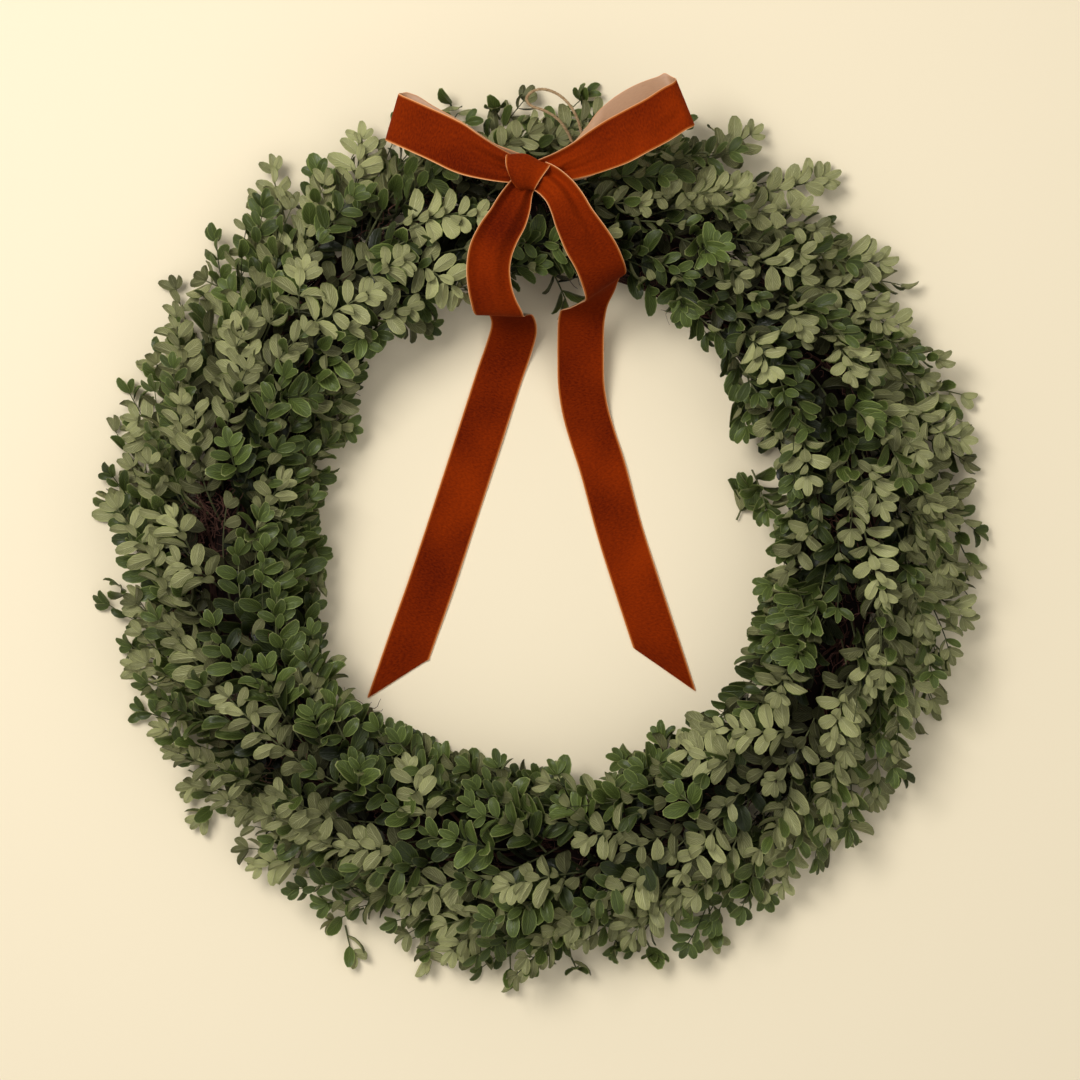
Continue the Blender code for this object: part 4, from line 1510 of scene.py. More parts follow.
@dataclass
class RibbonBow:
    """The velvet ribbon: a knot, two loops and two tails.

    Attributes:
        knot: Middle of the knot, in metres from the ring's centre.
        loop_span: Shares of a loop's length where its layers start and where its end bends round.
        layer_rows: Rows that are given to each layer between them.
        loop_arch: Rise of the front layer's middle.
        back_drop: Depth of the back layer's start under the knot's middle.
        gathered: Share of the ribbon's width that shows at the knot.
        opened: Share of the width that opens up along the loop.
        open_at: Share of the loop's length at which the ribbon is open.
        spacing: Distance between slices.
        knot_spacing: The same round the knot.
    """

    knot: Vector = field(default_factory=lambda: Vector((-5, 283, 123)) * MM)
    loop_span: Span = (0.04, 0.92)
    layer_rows: int = 8
    loop_arch: float = 5 * MM
    back_drop: float = 6 * MM
    gathered: float = 0.42
    opened: float = 0.58
    open_at: float = 0.5
    spacing: float = 2.6 * MM
    knot_spacing: float = 2.0 * MM

    def build(
        self, centre: Vector, materials: Sequence[Material]
    ) -> list[Piece]:
        """Builds all stretches of the ribbon."""
        pieces = []
        for band in (
            self._tail("left_tail", LEFT_TAIL, LEFT_CREASES, centre, 0.6),
            self._tail("right_tail", RIGHT_TAIL, RIGHT_CREASES, centre, 2.2),
            *(self._loop(shape, centre) for shape in LOOPS),
            self._knot_wrap(centre),
        ):
            piece = band.build(materials)
            finish_piece(piece, ["ribbon_bow"], "rust_velvet")
            band.lengths()
            pieces.append(piece)
        return pieces

    @staticmethod
    def _slices(rows: Points, centre: Vector, spacing: float) -> list[RibbonSlice]:
        """Slices at even distances through rows of place, width direction and share."""
        slices = []
        for row in smooth_route(rows, spacing):
            share = float(np.clip(row[6], LEAST_SHARE, 1.0))
            place, across = Vector(row[:3]) + centre, Vector(row[3:6]).normalized()
            slices.append(RibbonSlice(place, across, share))
        return slices

    @staticmethod
    def _rows(route: Points) -> list[tuple[float, ...]]:
        """Rows of place, width direction and share from a route in millimetres and degrees."""
        rows = []
        for x, y, z, angle, share in route:
            turn = radians(angle)
            rows.append((x * MM, y * MM, z * MM, cos(turn), sin(turn), 0.0, share))
        return rows

    def _tail(
        self, name: str, route: Points, creases: Sequence[Crease], centre: Vector, wave: float
    ) -> RibbonBand:
        """A tail from its route."""
        slices = self._slices(self._rows(route), centre, self.spacing)
        return RibbonBand(name, slices, wave=wave, creases=creases)

    def _loop(self, shape: LoopShape, centre: Vector) -> RibbonBand:
        """A loop: out along its front layer, round its end and back along the back one."""
        far = Vector((shape.end[0] * MM, shape.end[1] * MM, self.knot.z))
        run = (far - self.knot).normalized()
        length = (far - self.knot).length
        square = Vector((-run.y, run.x, 0.0)) * (1 if run.x > 0 else -1)
        angle = radians(shape.angle)
        slant = Vector((cos(angle), sin(angle), 0.0))
        radius = shape.gap * MM / 2
        start, end = self.loop_span
        rows = []

        def add(share: float, z: float, shift: float) -> None:
            """Adds a row at a share of the loop's length."""
            bend = float(np.interp(share, *zip(*shape.bends)))
            place = self.knot + run * (length * share) + square * ((shift + bend) * MM)
            across = square.lerp(slant, share).normalized()
            spread = self.gathered + self.opened * min(1.0, share / self.open_at)
            rows.append((place.x, place.y, z, *across, spread))

        front, back = self.knot.z, self.knot.z - self.back_drop
        for share in np.linspace(start, end, self.layer_rows):
            arch = self.loop_arch * sin(pi * share)
            add(share, front + (shape.height * MM - front) * share + arch, 0.0)
        top = rows[-1][2]
        for degrees in (45, 90, 135):
            turn = radians(degrees)
            slipped = shape.slips[-1][1] * (degrees / 180) ** 2
            out = end + radius * sin(turn) / length
            add(out, top - radius * (1 - cos(turn)), slipped)
        low = top - 2 * radius
        for share in np.linspace(end, start, self.layer_rows):
            slipped = float(np.interp(share, *zip(*shape.slips)))
            add(share, low + (back - low) * (1 - share), slipped)
        slices = self._slices(rows, centre, self.spacing)
        return RibbonBand(
            shape.name, slices, turned=shape.turned, pleats=2.0, wave=0.9,
            pleat_height=4 * MM, creases=shape.creases,
        )

    def _knot_wrap(self, centre: Vector) -> RibbonBand:
        """The ribbon's stretch that is wrapped round the middle."""
        slices = self._slices(self._rows(KNOT_ROUTE), centre, self.knot_spacing)
        return RibbonBand(
            "knot", slices, closed=True, pleats=1.0, wave=2.2, pleat_height=2.0 * MM,
            thickness=0.8 * MM,
        )


# Foliage


class Habit(Enum):
    """How leaves stand on a sprig."""

    SPRAY = "flat, in one plane, with small leaves over the stem"
    TWIG = "in pairs, each square to the one before"


@dataclass(frozen=True)
class SprigRow:
    """A row of sprigs along one section of the ring.

    Attributes:
        around: Lowest and highest angle round the section, in degrees, 0 outward and 90 in front.
        count: Sprigs of the row in one section.
        depth: Where their roots are, 0 at the vine ring and 1 at the foliage's body.
        leans: Lean from the section's normal at the root and at the tip, in degrees.
        swing: Turn from the ring's direction, in degrees, positive towards the inner side.
        face: Angle that their leaves face, in degrees.
        lengths: Shortest and longest stem, in millimetres.
        sage_share: Share of them that show the sage side of their leaves.
        spray_share: Share of them with flat sprays.
    """

    around: Span
    count: int
    depth: float
    leans: Span
    swing: float
    face: float
    lengths: Span
    sage_share: float
    spray_share: float


SAGE_ROWS = (
    SprigRow((-30, -14), 4, 0.60, (78, 88), 0, 88, (90, 110), 0.3, 1.0),
    SprigRow((-12, 4), 3, 0.55, (62, 80), 0, 55, (70, 92), 0.55, 0.3),
    SprigRow((-8, 8), 3, 0.20, (34, 50), -6, 46, (74, 100), 0.55, 0.3),
    SprigRow((14, 34), 4, 0.20, (42, 62), -10, 58, (80, 100), 0.60, 0.4),
    SprigRow((38, 60), 3, 0.15, (48, 76), -12, 72, (84, 106), 0.60, 0.5),
    SprigRow((64, 88), 3, 0.15, (52, 84), -4, 84, (84, 108), 0.55, 0.5),
)
GREEN_ROWS = (
    SprigRow((92, 112), 4, 0.20, (52, 84), 6, 94, (80, 100), 0.20, 0.3),
    SprigRow((116, 138), 4, 0.25, (52, 84), 10, 104, (66, 86), 0.12, 0.2),
    SprigRow((142, 164), 3, 0.25, (50, 78), 12, 112, (58, 74), 0.2, 0.2),
    SprigRow((168, 188), 3, 0.20, (48, 74), 6, 120, (48, 64), 0.35, 0.2),
    SprigRow((180, 194), 2, 0.50, (62, 80), 0, 120, (52, 70), 0.4, 0.2),
    SprigRow((194, 210), 3, 0.60, (78, 88), 0, 92, (66, 84), 0.3, 1.0),
)


@dataclass(frozen=True)
class SeenSprig:
    """A sprig that the photograph shows clearly.

    Attributes:
        route: Pixels of its root, of the corner that its curve bends round, and of its tip.
        sage: True where it shows the sage side of its leaves.
        habit: How its leaves stand.
        rise: Height of its middle over the foliage's body, in millimetres.
        tip_leaf: How far its last leaves reach past its stem, in millimetres.
    """

    route: tuple[int, int, int, int, int, int]
    sage: bool
    habit: Habit
    rise: float
    tip_leaf: float


# Flat sage sprays over the front
SEEN_SPRAYS = (
    (242, 412, 243, 370, 236, 320), (212, 462, 200, 432, 174, 392), (308, 767, 262, 735, 222, 690),
    (226, 684, 203, 652, 157, 617), (172, 642, 152, 620, 134, 592), (365, 835, 310, 806, 240, 814),
    (166, 690, 150, 672, 128, 664), (283, 232, 277, 205, 273, 163), (285, 268, 300, 246, 329, 202),
    (352, 205, 358, 170, 362, 130), (290, 335, 330, 315, 376, 288), (262, 352, 244, 338, 236, 312),
    (193, 557, 184, 535, 170, 510), (256, 522, 270, 500, 286, 476), (379, 230, 430, 213, 487, 217),
    (405, 255, 440, 275, 471, 301), (352, 292, 380, 268, 410, 258), (640, 208, 700, 193, 750, 186),
    (698, 170, 728, 150, 758, 129), (748, 197, 795, 186, 833, 176), (733, 253, 765, 262, 810, 280),
    (808, 250, 850, 262, 889, 262), (836, 298, 862, 306, 892, 328), (772, 298, 790, 310, 806, 336),
    (826, 316, 840, 345, 853, 380), (843, 298, 875, 312, 908, 330), (903, 428, 935, 433, 970, 441),
    (883, 440, 898, 455, 926, 472), (862, 452, 872, 480, 884, 512), (908, 478, 915, 515, 914, 560),
    (860, 512, 868, 550, 886, 604), (874, 583, 900, 596, 924, 637), (928, 593, 950, 602, 968, 624),
    (850, 672, 842, 700, 831, 742), (812, 728, 770, 735, 714, 728), (752, 762, 715, 765, 670, 742),
    (724, 812, 708, 842, 676, 880), (716, 868, 695, 880, 664, 908), (668, 862, 640, 882, 598, 902),
    (782, 802, 785, 850, 782, 893), (418, 850, 380, 850, 340, 845), (490, 870, 450, 882, 400, 906),
    (584, 872, 545, 876, 500, 887), (514, 906, 475, 928, 446, 957), (438, 834, 420, 805, 407, 762),
    (792, 662, 782, 680, 776, 702), (862, 640, 868, 660, 872, 690), (300, 318, 296, 300, 306, 262),
    (178, 440, 160, 425, 128, 418), (222, 590, 205, 572, 170, 560), (330, 860, 290, 858, 252, 868),
    (640, 835, 610, 828, 580, 842), (742, 330, 760, 345, 772, 376), (800, 420, 806, 450, 808, 486),
)
# Green sprigs, mostly on the inner half
SEEN_TWIGS = (
    (287, 719, 275, 690, 262, 660), (327, 757, 318, 730, 311, 706), (355, 218, 362, 205, 372, 192),
    (336, 190, 322, 182, 314, 166), (258, 320, 275, 300, 296, 282), (250, 322, 240, 300, 224, 285),
    (188, 508, 176, 480, 165, 448), (240, 482, 232, 462, 228, 436), (246, 558, 254, 538, 263, 512),
    (272, 400, 290, 396, 318, 398), (262, 792, 245, 780, 224, 774), (312, 800, 300, 794, 278, 796),
    (326, 732, 335, 715, 345, 690), (700, 262, 712, 252, 724, 240), (846, 402, 860, 412, 876, 430),
    (806, 578, 796, 590, 784, 606), (822, 604, 812, 618, 800, 628), (806, 630, 800, 648, 792, 668),
    (518, 817, 505, 795, 496, 758), (546, 852, 520, 822, 476, 814), (572, 798, 562, 782, 552, 766),
    (612, 806, 612, 790, 613, 772), (358, 798, 358, 780, 361, 760), (420, 828, 408, 814, 392, 800),
    (506, 850, 480, 848, 448, 834), (746, 864, 756, 880, 768, 904), (676, 280, 680, 300, 686, 318),
    (690, 226, 700, 240, 712, 262), (730, 392, 742, 410, 748, 436), (752, 470, 762, 490, 768, 520),
    (640, 792, 650, 770, 668, 758), (600, 836, 580, 812, 556, 800), (392, 318, 372, 330, 350, 346),
    (404, 232, 396, 250, 378, 268), (220, 352, 228, 330, 248, 305), (176, 596, 168, 580, 160, 556),
    (560, 912, 540, 900, 512, 908), (700, 820, 690, 800, 672, 790), (880, 690, 876, 720, 862, 752),
    (842, 760, 836, 786, 820, 806),
)
# Loose sprigs whose leaves are seen edge-on against the surface behind
SEEN_LOOSE = (
    (171, 390, 160, 370, 146, 349), (195, 362, 185, 345, 172, 324), (232, 292, 212, 284, 190, 272),
    (264, 264, 250, 256, 236, 236), (168, 452, 145, 436, 122, 416), (128, 522, 114, 504, 99, 484),
    (168, 566, 145, 540, 120, 516), (224, 757, 190, 742, 148, 722), (228, 792, 205, 784, 176, 788),
    (236, 796, 210, 806, 190, 832), (316, 692, 324, 676, 331, 654), (324, 706, 334, 696, 344, 678),
    (290, 428, 325, 424, 364, 431), (304, 480, 318, 474, 335, 460), (290, 572, 308, 560, 324, 534),
    (300, 590, 316, 586, 336, 582), (378, 310, 410, 316, 441, 334), (672, 262, 680, 292, 688, 316),
    (716, 298, 712, 310, 706, 324), (925, 385, 950, 392, 979, 398), (934, 488, 952, 490, 974, 499),
    (826, 530, 800, 530, 769, 536), (822, 558, 790, 574, 755, 594), (945, 500, 958, 545, 981, 580),
    (914, 654, 925, 680, 939, 716), (930, 640, 946, 656, 963, 663), (676, 776, 665, 755, 661, 720),
    (696, 778, 648, 763, 604, 759), (862, 764, 868, 785, 878, 814), (708, 904, 712, 925, 717, 955),
    (838, 804, 848, 825, 849, 850), (456, 786, 440, 770, 430, 744), (346, 924, 350, 945, 357, 968),
    (420, 934, 424, 955, 431, 978), (510, 944, 510, 972, 518, 993), (570, 954, 576, 968, 584, 984),
    (364, 908, 340, 918, 316, 926), (480, 944, 480, 958, 485, 975), (612, 936, 620, 946, 628, 962),
    (548, 262, 562, 290, 576, 326), (452, 110, 450, 100, 449, 88), (500, 120, 494, 108, 488, 92),
    (586, 118, 584, 104, 580, 84), (712, 142, 720, 130, 724, 114), (736, 520, 746, 500, 752, 470),
    (130, 600, 122, 588, 108, 572), (646, 940, 652, 952, 660, 970),
)
SEEN_SPRIGS = (
    *(SeenSprig(route, True, Habit.SPRAY, 21.0, 8.0) for route in SEEN_SPRAYS),
    *(SeenSprig(route, False, Habit.TWIG, 15.0, 8.0) for route in SEEN_TWIGS),
    *(
        SeenSprig(route, hypot(*photo_place(*route[4:])) > RING_RADIUS, Habit.TWIG, 3.0, 15.0)
        for route in SEEN_LOOSE
    ),
)


class Stem:
    """A stem as a run of points, with the direction and the facing of its leaves at each."""

    STEPS = 20

    def __init__(self, points: Sequence[Vector], faces: Sequence[float]) -> None:
        """Keeps the stem's shape.

        Args:
            points: Points from its root to its tip, from the ring's centre.
            faces: Angle round the ring's section that the leaves face at each point.
        """
        self.points = list(points)
        self.faces = list(faces)
        self.length = sum((b - a).length for a, b in zip(self.points, self.points[1:]))

    @classmethod
    def grown(cls, theta: float, row: SprigRow, draw: random.Random) -> "Stem":
        """A stem that leans over clockwise, as the others of its row do.

        Args:
            theta: Angle of its root round the ring.
            row: The row that it belongs to.
            draw: Random draws.

        Returns:
            The stem.
        """
        phi = radians(draw.uniform(*row.around))
        length = draw.uniform(*row.lengths) * MM
        face = radians(row.face + draw.uniform(-22, 22))
        leans = [radians(value + draw.uniform(-8, 8)) for value in row.leans]
        swing = radians(row.swing + draw.uniform(-18, 18))
        point = section_point(theta, phi, row.depth)
        point.z = max(point.z, LOWEST_STEM)
        points = [point]
        for index in range(cls.STEPS):
            angle = atan2(point.y, point.x)
            outward, clockwise = ring_directions(angle)
            inward = outward * -sin(phi) + Vector((0, 0, cos(phi)))
            lean = leans[0] + (leans[1] - leans[0]) * index / cls.STEPS
            way = turned(clockwise, inward, swing)
            direction = turned(section_normal(angle, phi), way, lean)
            point = point + direction.normalized() * (length / cls.STEPS)
            point.z = max(point.z, LOWEST_STEM)
            points.append(point)
        return cls(points, [face] * len(points))

    @classmethod
    def seen(cls, sprig: SeenSprig) -> "Stem":
        """A stem through the places where the photograph shows it, over the foliage's body."""
        route = sprig.route
        ends = [Vector((*photo_place(*route[at : at + 2]), 0.0)) for at in (0, 2, 4)]
        ends[2] += (ends[1] - ends[2]).normalized() * sprig.tip_leaf * MM
        points, faces = [], []
        for share in np.linspace(0, 1, cls.STEPS + 1):
            bend = ends[1] * (2 * share * (1 - share))
            point = ends[0] * (1 - share) ** 2 + bend + ends[2] * share**2
            radius = hypot(point.x, point.y)
            wide = FOLIAGE_OUT if radius > RING_RADIUS else FOLIAGE_IN
            off = max(-1.0, min(1.0, (radius - RING_RADIUS) / wide))
            phi = acos(off)
            lift = sprig.rise * MM * sin(radians(110) * share) - 12 * MM * (1 - share)
            fall = max(0.0, abs(radius - RING_RADIUS) - wide) * 0.6
            height = RING_MID_HEIGHT + FOLIAGE_UP * max(sin(phi), 0.25) + lift - fall
            point *= (Studio.camera_height - height) / (Studio.camera_height - Studio.middle_height)
            point.z = max(LOWEST_STEM, height)
            points.append(point)
            faces.append(0.4 * phi + 0.6 * pi / 2)
        return cls(points, faces)

    def at(self, distance: float) -> tuple[Vector, Vector, Vector, Vector]:
        """Point, direction, facing and side at a distance along the stem."""
        place = max(0.0, min(1.0, distance / self.length)) * self.STEPS
        low = min(int(place), self.STEPS - 1)
        start, end = self.points[low], self.points[low + 1]
        point = start.lerp(end, place - low)
        before = self.points[max(0, low - 1)]
        after = self.points[min(self.STEPS, low + 2)]
        along = (after - before).normalized()
        facing = section_normal(atan2(point.y, point.x), self.faces[low])
        up = (facing - along * facing.dot(along)).normalized()
        return point, along, up, up.cross(along)

    def section(self) -> int:
        """Number of the ring's section that holds the root."""
        theta = atan2(self.points[0].y, self.points[0].x) % (2 * pi)
        return int(theta / SECTION_ANGLE) % SECTIONS


@dataclass
class PlacedLeaf:
    """One leaf's own frame.

    Attributes:
        root: Where it leaves its stem.
        axis: Its direction.
        normal: The way its upper, green side faces.
        length: Its length.
        breadth: Its width, as a share of the usual one.
        cup: How deeply it is cupped, as a share of the usual.
        tone: Its own shade.
    """

    root: Vector
    axis: Vector
    normal: Vector
    length: float
    breadth: float
    cup: float
    tone: float

    def points(self, template: Template) -> np.ndarray:
        """Vertex places of the leaf."""
        axis = self.axis.normalized()
        normal = (self.normal - axis * self.normal.dot(axis)).normalized()
        across = normal.cross(axis)
        wide, deep = self.length * self.breadth, self.length * self.cup
        frame = np.array([axis * self.length, across * wide, normal * deep])
        return template.points @ frame + np.array(self.root)


class Surroundings:
    """What leaves keep clear of: the ribbon, openings in the foliage and each other."""

    CELL = 8 * MM
    UNDER_RIBBON = 0.07

    def __init__(self, bow: Sequence[Piece], centre: Vector) -> None:
        """Reads the ribbon's surface."""
        points: list[Vector] = []
        faces: list[tuple[int, ...]] = []
        for piece in bow:
            start = len(points)
            points.extend(vertex.co.copy() for vertex in piece.data.vertices)
            for face in piece.data.polygons:
                faces.append(tuple(index + start for index in face.vertices))
        self.ribbon = BVHTree.FromPolygons(points, faces)
        self.centre = centre
        self.taken: dict[tuple[int, ...], list[Vector]] = {}

    def near_ribbon(self, place: Vector, clear: float) -> bool:
        """True where a place is close to the ribbon, or between it and the viewer."""
        if self.ribbon.find_nearest(place, clear)[0] is not None:
            return True
        down = Vector((0.0, 0.0, -1.0))
        return self.ribbon.ray_cast(place, down, self.UNDER_RIBBON)[0] is not None

    def in_gap(self, place: Vector) -> bool:
        """True inside one of the dark openings of the foliage."""
        for x, y, radius, floor in GAPS:
            gap_x, gap_y = photo_place(x, y)
            away = hypot(place.x - self.centre.x - gap_x, place.y - self.centre.y - gap_y)
            if away < radius * MM and place.z > floor * MM:
                return True
        return False

    def in_hole(self, place: Vector, margin: float) -> bool:
        """True in the wreath's hole, as the viewer sees it, or within a margin of its edge."""
        x, y = place.x - self.centre.x, place.y - self.centre.y
        seen = (Studio.camera_height - Studio.middle_height) / (Studio.camera_height - place.z)
        angle = math.degrees(atan2(y, x))
        edge = np.interp(angle, HOLE_ANGLES, HOLE_RADII, period=360.0)
        return hypot(x, y) * seen < edge * PIXEL + margin

    def crowded(self, place: Vector, clear: float) -> bool:
        """True where another leaf's middle is closer than a distance."""
        cell = self._cell(place)
        for shift in itertools.product((-1, 0, 1), repeat=3):
            key = tuple(value + step for value, step in zip(cell, shift))
            for other in self.taken.get(key, ()):
                if (other - place).length < clear:
                    return True
        return False

    def take(self, place: Vector) -> None:
        """Keeps a leaf's middle, for those that come later."""
        self.taken.setdefault(self._cell(place), []).append(place.copy())

    def _cell(self, place: Vector) -> tuple[int, ...]:
        """Number of the cell that holds a place."""
        return tuple(int(math.floor(value / self.CELL)) for value in place)


@dataclass
class PlannedSprig:
    """A sprig that is still to be grown.

    Attributes:
        node: Name of the CAD node that it stands in for.
        stem: Its stem, from the ring's centre.
        sage: True where it shows the sage side of its leaves.
        habit: How its leaves stand.
        order: Sprigs with a lower number are grown first and lie whole over the others.
        clear: Distance between its leaves' middles and those of others.
        draw: Its random draws.
    """

    node: str
    stem: Stem
    sage: bool
    habit: Habit
    order: float
    clear: float
    draw: random.Random

    @property
    def seen(self) -> bool:
        """True for the sprigs that the photograph shows, which are grown first."""
        return self.order == 0.0


@dataclass
class Foliage:
    """All bunches of sprigs round the ring, each for one CAD node.

    Attributes:
        leaf_length: Length of a full-grown leaf.
        twig_spacing: Distance between pairs of leaves on a twig.
        spray_spacing: Distance between side leaves and the next small leaf on a spray.
        stem_radius: Radius of a stem at its root.
        bare_share: Share of a stem without leaves, at its root.
        floor_gap: Least height of a leaf over the surface.
        ribbon_gap: Distance that leaves keep from the ribbon.
        own_clear: Distance between leaves' middles of the sprigs that lie on top.
        fill_clear: The same for those that fill the body under them.
        dark_within: Depth at which leaves are painted darkest, as a share of the body's outline.
        lit_beyond: Depth from which no painted shade darkens them.
        depth_power: How fast the painted shade lifts between them.
        fill_painted_shade: Painted shade of the sprigs that fill the body under the top ones, as a
            share of the others' shade.
        hole_gap: Distance that stems of those sprigs keep from the hole.
        hole_reach: Distance that the middles of their leaves may reach into it.
        near_steps: Steps from a stem's root that may be close to the ribbon.
        least_free: Least free share of a stem that is grown.
        least_leaves: Least number of leaves with which a stem shows.
        end_gap: Distance from the tip within which no pair stands.
        stem_points: Points of a stem's path.
        stem_taper: Share of its radius that it loses towards its tip.
        spins: Spread of the leaves' roll on seen sprigs and on the others, in degrees.
        seed: Seed of the random draws.
        leaves: How many leaves were placed.
    """

    # Spans of angles in degrees: for side leaves, for small leaves over the stem, for pairs on
    # twigs and for the leaves at a tip
    SIDE_LEAN, SIDE_LIFT = (50, 76), (-8, 18)
    OVER_DRIFT, OVER_LIFT = (-34, 34), (12, 30)
    PAIR_LEAN, PAIR_TURN = (34, 60), (-22, 22)
    TIP_LEAN, TIP_LIFT = (34, 58), (0, 22)
    # Sizes of leaves over the stem, on twigs and at a tip, as shares of a side leaf's
    OVER_SIZE, PAIR_SIZE, TIP_SIZES = 0.72, 0.96, ((0, 0.62), (1, 0.6), (-1, 0.6))

    leaf_length: float = 24.5 * MM
    twig_spacing: float = 8.8 * MM
    spray_spacing: float = 7.4 * MM
    stem_radius: float = 0.85 * MM
    bare_share: float = 0.24
    floor_gap: float = 0.8 * MM
    ribbon_gap: float = 3.0 * MM
    own_clear: float = 6.5 * MM
    fill_clear: float = 8.0 * MM
    dark_within: float = 0.72
    lit_beyond: float = 1.20
    depth_power: float = 1.9
    fill_painted_shade: float = 0.72
    hole_gap: float = 5 * MM
    hole_reach: float = 3 * MM
    near_steps: int = 4
    least_free: float = 0.4
    least_leaves: int = 3
    end_gap: float = 5 * MM
    stem_points: int = 14
    stem_taper: float = 0.55
    spins: Span = (10, 17)
    seed: int = 21
    leaves: int = 0

    def build(
        self,
        centre: Vector,
        bow: Sequence[Piece],
        materials: Sequence[Material],
    ) -> None:
        """Builds every bunch.

        Args:
            centre: The ring's centre.
            bow: The ribbon's pieces.
            materials: The leaf's green side, its sage side and the stem's skin.
        """
        self.blade = LeafBlade().model()
        self.rod = Rod(sides=4, steps=10)
        self.rod_template = self.rod.model()
        self.around = Surroundings(bow, centre)
        self.centre = centre
        bunches: dict[str, Gathered] = {}
        for sprig in sorted(self._plan(), key=lambda item: item.order):
            self._grow(sprig, bunches.setdefault(sprig.node, Gathered()))
        for node in sorted(bunches):
            piece = bunches[node].build(node.replace("leaves", "sprigs"), materials, 48)
            finish_piece(piece, [node], node.split("_")[0] + "_leaf")
        LOG.info("leaves: %d", self.leaves)

    def _plan(self) -> list[PlannedSprig]:
        """Every sprig: those that the photograph shows, then the rows of each section."""
        plan = []
        for index, seen in enumerate(SEEN_SPRIGS):
            stem = Stem.seen(seen)
            root = stem.points[0]
            colour = "sage" if hypot(root.x, root.y) > RING_RADIUS else "green"
            node = f"{colour}_leaves_{stem.section() + 1:02d}"
            draw = random.Random(f"{self.seed} seen {index}")
            plan.append(PlannedSprig(node, stem, seen.sage, seen.habit, 0.0, self.own_clear, draw))
        for section in range(SECTIONS):
            for colour, rows in (("sage", SAGE_ROWS), ("green", GREEN_ROWS)):
                draw = random.Random(f"{self.seed} {colour} {section}")
                for row in rows:
                    for index in range(row.count):
                        place = (index + draw.uniform(0.1, 0.9)) / row.count
                        stem = Stem.grown(SECTION_ANGLE * (section + place), row, draw)
                        sage = draw.random() < row.sage_share
                        habit = Habit.SPRAY if draw.random() < row.spray_share else Habit.TWIG
                        order = 1.0 + draw.random() - (0.4 if habit is Habit.SPRAY else 0.0)
                        node = f"{colour}_leaves_{section + 1:02d}"
                        seed = random.Random(f"{self.seed} {node} {row.around} {index}")
                        plan.append(
                            PlannedSprig(node, stem, sage, habit, order, self.fill_clear, seed)
                        )
        return plan

    def _grow(self, sprig: PlannedSprig, gathered: Gathered) -> None:
        """Grows one sprig's leaves and its stem, where there is room."""
        stem = sprig.stem
        stem.points = [point + self.centre for point in stem.points]
        end = self._free_length(sprig)
        if end < self.least_free * stem.length:
            return
        # Filling sprigs get painted shade, as they lie under the top ones.
        share = 1.0 if sprig.seen else self.fill_painted_shade
        middles = []
        for leaf in self._leaves(sprig, end):
            points = leaf.points(self.blade)
            middle = leaf.root + leaf.axis.normalized() * (leaf.length * 0.6)
            if not sprig.seen and self.around.in_hole(middle, -self.hole_reach):
                continue
            if self._fits(leaf, middle, points) and not self.around.crowded(middle, sprig.clear):
                # Leaf shade: its own tone times painted shade for its depth in the body and, on
                # filling sprigs, for lying under the top ones.
                gathered.add(self.blade, points, leaf.tone * self._painted_light_share(middle) * share)
                middles.append(middle)
        for middle in middles:
            self.around.take(middle)
        self.leaves += len(middles)
        if len(middles) < self.least_leaves:
            return
        shares = np.linspace(0, 1, self.stem_points)
        path = np.array([stem.at(value * end)[0] for value in shares])
        radii = self.stem_radius * (1 - self.stem_taper * shares)
        points = self.rod.sweep(self.rod_template, path, radii)
        gathered.add(self.rod_template, points, sprig.draw.random(), 2)

    def _painted_light_share(self, place: Vector) -> float:
        """Share of light painted into a leaf's colour, by how deep it lies in the foliage's body:
        painted shade.
        """
        off = place - self.centre
        beside = hypot(off.x, off.y) - RING_RADIUS
        wide = FOLIAGE_OUT if beside > 0 else FOLIAGE_IN
        away = hypot(beside / wide, (off.z - RING_MID_HEIGHT) / FOLIAGE_UP)
        share = (away - self.dark_within) / (self.lit_beyond - self.dark_within)
        return max(0.0, min(1.0, share)) ** self.depth_power

    def _free_length(self, sprig: PlannedSprig) -> float:
        """Length of the stem up to where it would come to the ribbon or into the hole."""
        stem = sprig.stem
        for index, point in enumerate(stem.points):
            if index > self.near_steps and (
                self.around.near_ribbon(point, self.ribbon_gap)
                or (not sprig.seen and self.around.in_hole(point, self.hole_gap))
            ):
                return stem.length * (index - 1) / stem.STEPS
        return stem.length

    def _fits(self, leaf: PlacedLeaf, middle: Vector, points: np.ndarray) -> bool:
        """True where a leaf is clear of the ribbon, the surface and the openings."""
        if points[:, 2].min() < self.floor_gap:
            return False
        tip = leaf.root + leaf.axis.normalized() * leaf.length
        for place in (middle, tip):
            if self.around.near_ribbon(place, self.ribbon_gap + leaf.length * 0.2):
                return False
        return not self.around.in_gap(middle)

    def _leaves(self, sprig: PlannedSprig, end: float) -> list[PlacedLeaf]:
        """Leaves of a sprig, from its root to its tip."""
        stem, draw = sprig.stem, sprig.draw
        spray = sprig.habit is Habit.SPRAY
        leaves = []
        distance = stem.length * self.bare_share
        pair = draw.randrange(2)
        tone = draw.random()
        spacing = self.spray_spacing if spray else self.twig_spacing
        grow = self._spray_pair if spray else self._twig_pair
        while distance < end - self.end_gap:
            share = distance / stem.length
            size = self.leaf_length * (1.0 - 0.38 * max(0.0, share - 0.55) / 0.45)
            leaves += grow(sprig, distance, size, pair, tone)
            pair += 1
            distance += spacing * draw.uniform(0.88, 1.12)
        return leaves + self._tip(sprig, end, tone)

    def _leaf(
        self, sprig: PlannedSprig, root: Vector, axis: Vector, facing: Vector, size: float,
        tone: float,
    ) -> PlacedLeaf:
        """A leaf whose shown side is sage or green."""
        draw = sprig.draw
        roll = radians(draw.gauss(0, self.spins[0] if sprig.seen else self.spins[1]))
        normal = Matrix.Rotation(roll, 3, axis) @ (-facing if sprig.sage else facing)
        shade = 0.3 + 0.3 * tone + 0.4 * draw.random()
        length, breadth = size * draw.uniform(0.86, 1.1), draw.uniform(0.88, 1.12)
        return PlacedLeaf(root, axis, normal, length, breadth, draw.uniform(0.8, 2.2), shade)

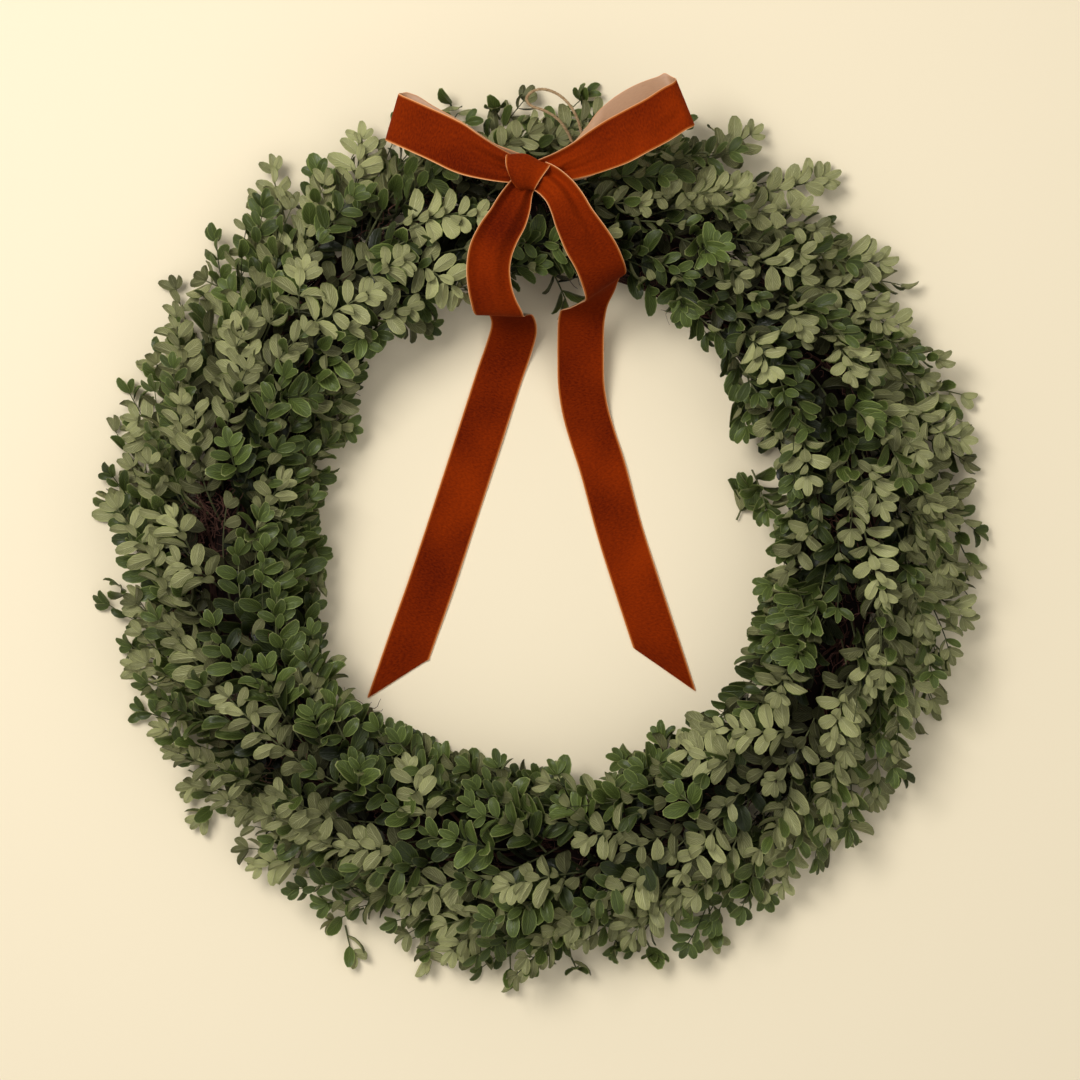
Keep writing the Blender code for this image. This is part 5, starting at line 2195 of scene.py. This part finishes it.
    def _spray_pair(
        self, sprig: PlannedSprig, distance: float, size: float, pair: int, tone: float
    ) -> list[PlacedLeaf]:
        """Side leaves of a flat spray, or one small leaf over the stem."""
        draw = sprig.draw
        point, along, up, side = sprig.stem.at(distance)
        if pair % 2:
            axis = turned(along, side, drawn_angle(draw, self.OVER_DRIFT))
            lift = drawn_angle(draw, self.OVER_LIFT)
            facing = up * cos(lift) - along * sin(lift) * 0.6
            axis = turned(axis, up, lift)
            return [self._leaf(sprig, point + up * MM, axis, facing, size * self.OVER_SIZE, tone)]
        result = []
        towards_tip = 24 * max(0.0, distance / sprig.stem.length - 0.6)
        for hand in (1, -1):
            lean = radians(draw.uniform(*self.SIDE_LEAN) - towards_tip)
            lift = drawn_angle(draw, self.SIDE_LIFT)
            axis = turned(turned(along, side * hand, lean), up, lift)
            facing = up + side * (hand * draw.uniform(-0.15, 0.4))
            result.append(self._leaf(sprig, point, axis, facing, size, tone))
        return result

    def _twig_pair(
        self, sprig: PlannedSprig, distance: float, size: float, pair: int, tone: float
    ) -> list[PlacedLeaf]:
        """A pair of leaves, each pair square to the one before."""
        draw = sprig.draw
        point, along, up, side = sprig.stem.at(distance)
        turn = (90 if pair % 2 else 0) + draw.uniform(*self.PAIR_TURN)
        out = turned(side, up, radians(turn))
        result = []
        for hand in (1, -1):
            way = out * hand
            if way.dot(up) < -0.75:
                way = (way + up * 0.9).normalized()
            lean = drawn_angle(draw, self.PAIR_LEAN)
            inner = along * sin(lean) - way * cos(lean)
            facing = inner * 0.85 + up * draw.uniform(0.15, 1.0)
            axis = turned(along, way, lean)
            result.append(self._leaf(sprig, point, axis, facing, size * self.PAIR_SIZE, tone))
        return result

    def _tip(self, sprig: PlannedSprig, end: float, tone: float) -> list[PlacedLeaf]:
        """The small leaves at the stem's tip."""
        point, along, up, side = sprig.stem.at(end)
        result = []
        for hand, size in self.TIP_SIZES:
            lean = drawn_angle(sprig.draw, self.TIP_LEAN) * hand
            lift = drawn_angle(sprig.draw, self.TIP_LIFT)
            axis = turned(turned(along, side, lean), up, lift)
            result.append(self._leaf(sprig, point, axis, up, self.leaf_length * size, tone))
        return result


# The whole wreath


def main() -> None:
    """Builds the wreath's pieces in order."""
    logging.basicConfig(level=logging.INFO, format="%(name)s: %(message)s")
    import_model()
    deselect_all()
    low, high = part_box("vine_ring")
    centre = Vector(((low.x + high.x) / 2, (low.y + high.y) / 2, 0.0))
    Studio().build(centre)
    effects = SharedEffects()
    HangingLoop().build(centre, JUTE.build(effects))
    VineRing().build(centre, BARK.build(effects))
    velvet = [finish.build(effects) for finish in (VelvetFinish(), SATIN_BACK, WOVEN_EDGE)]
    bow = RibbonBow().build(centre, velvet)
    leaves = [finish.build(effects) for finish in (GREEN_SIDE, SAGE_SIDE, STEM_SKIN)]
    Foliage().build(centre, bow, leaves)


if __name__ == "__main__":
    main()
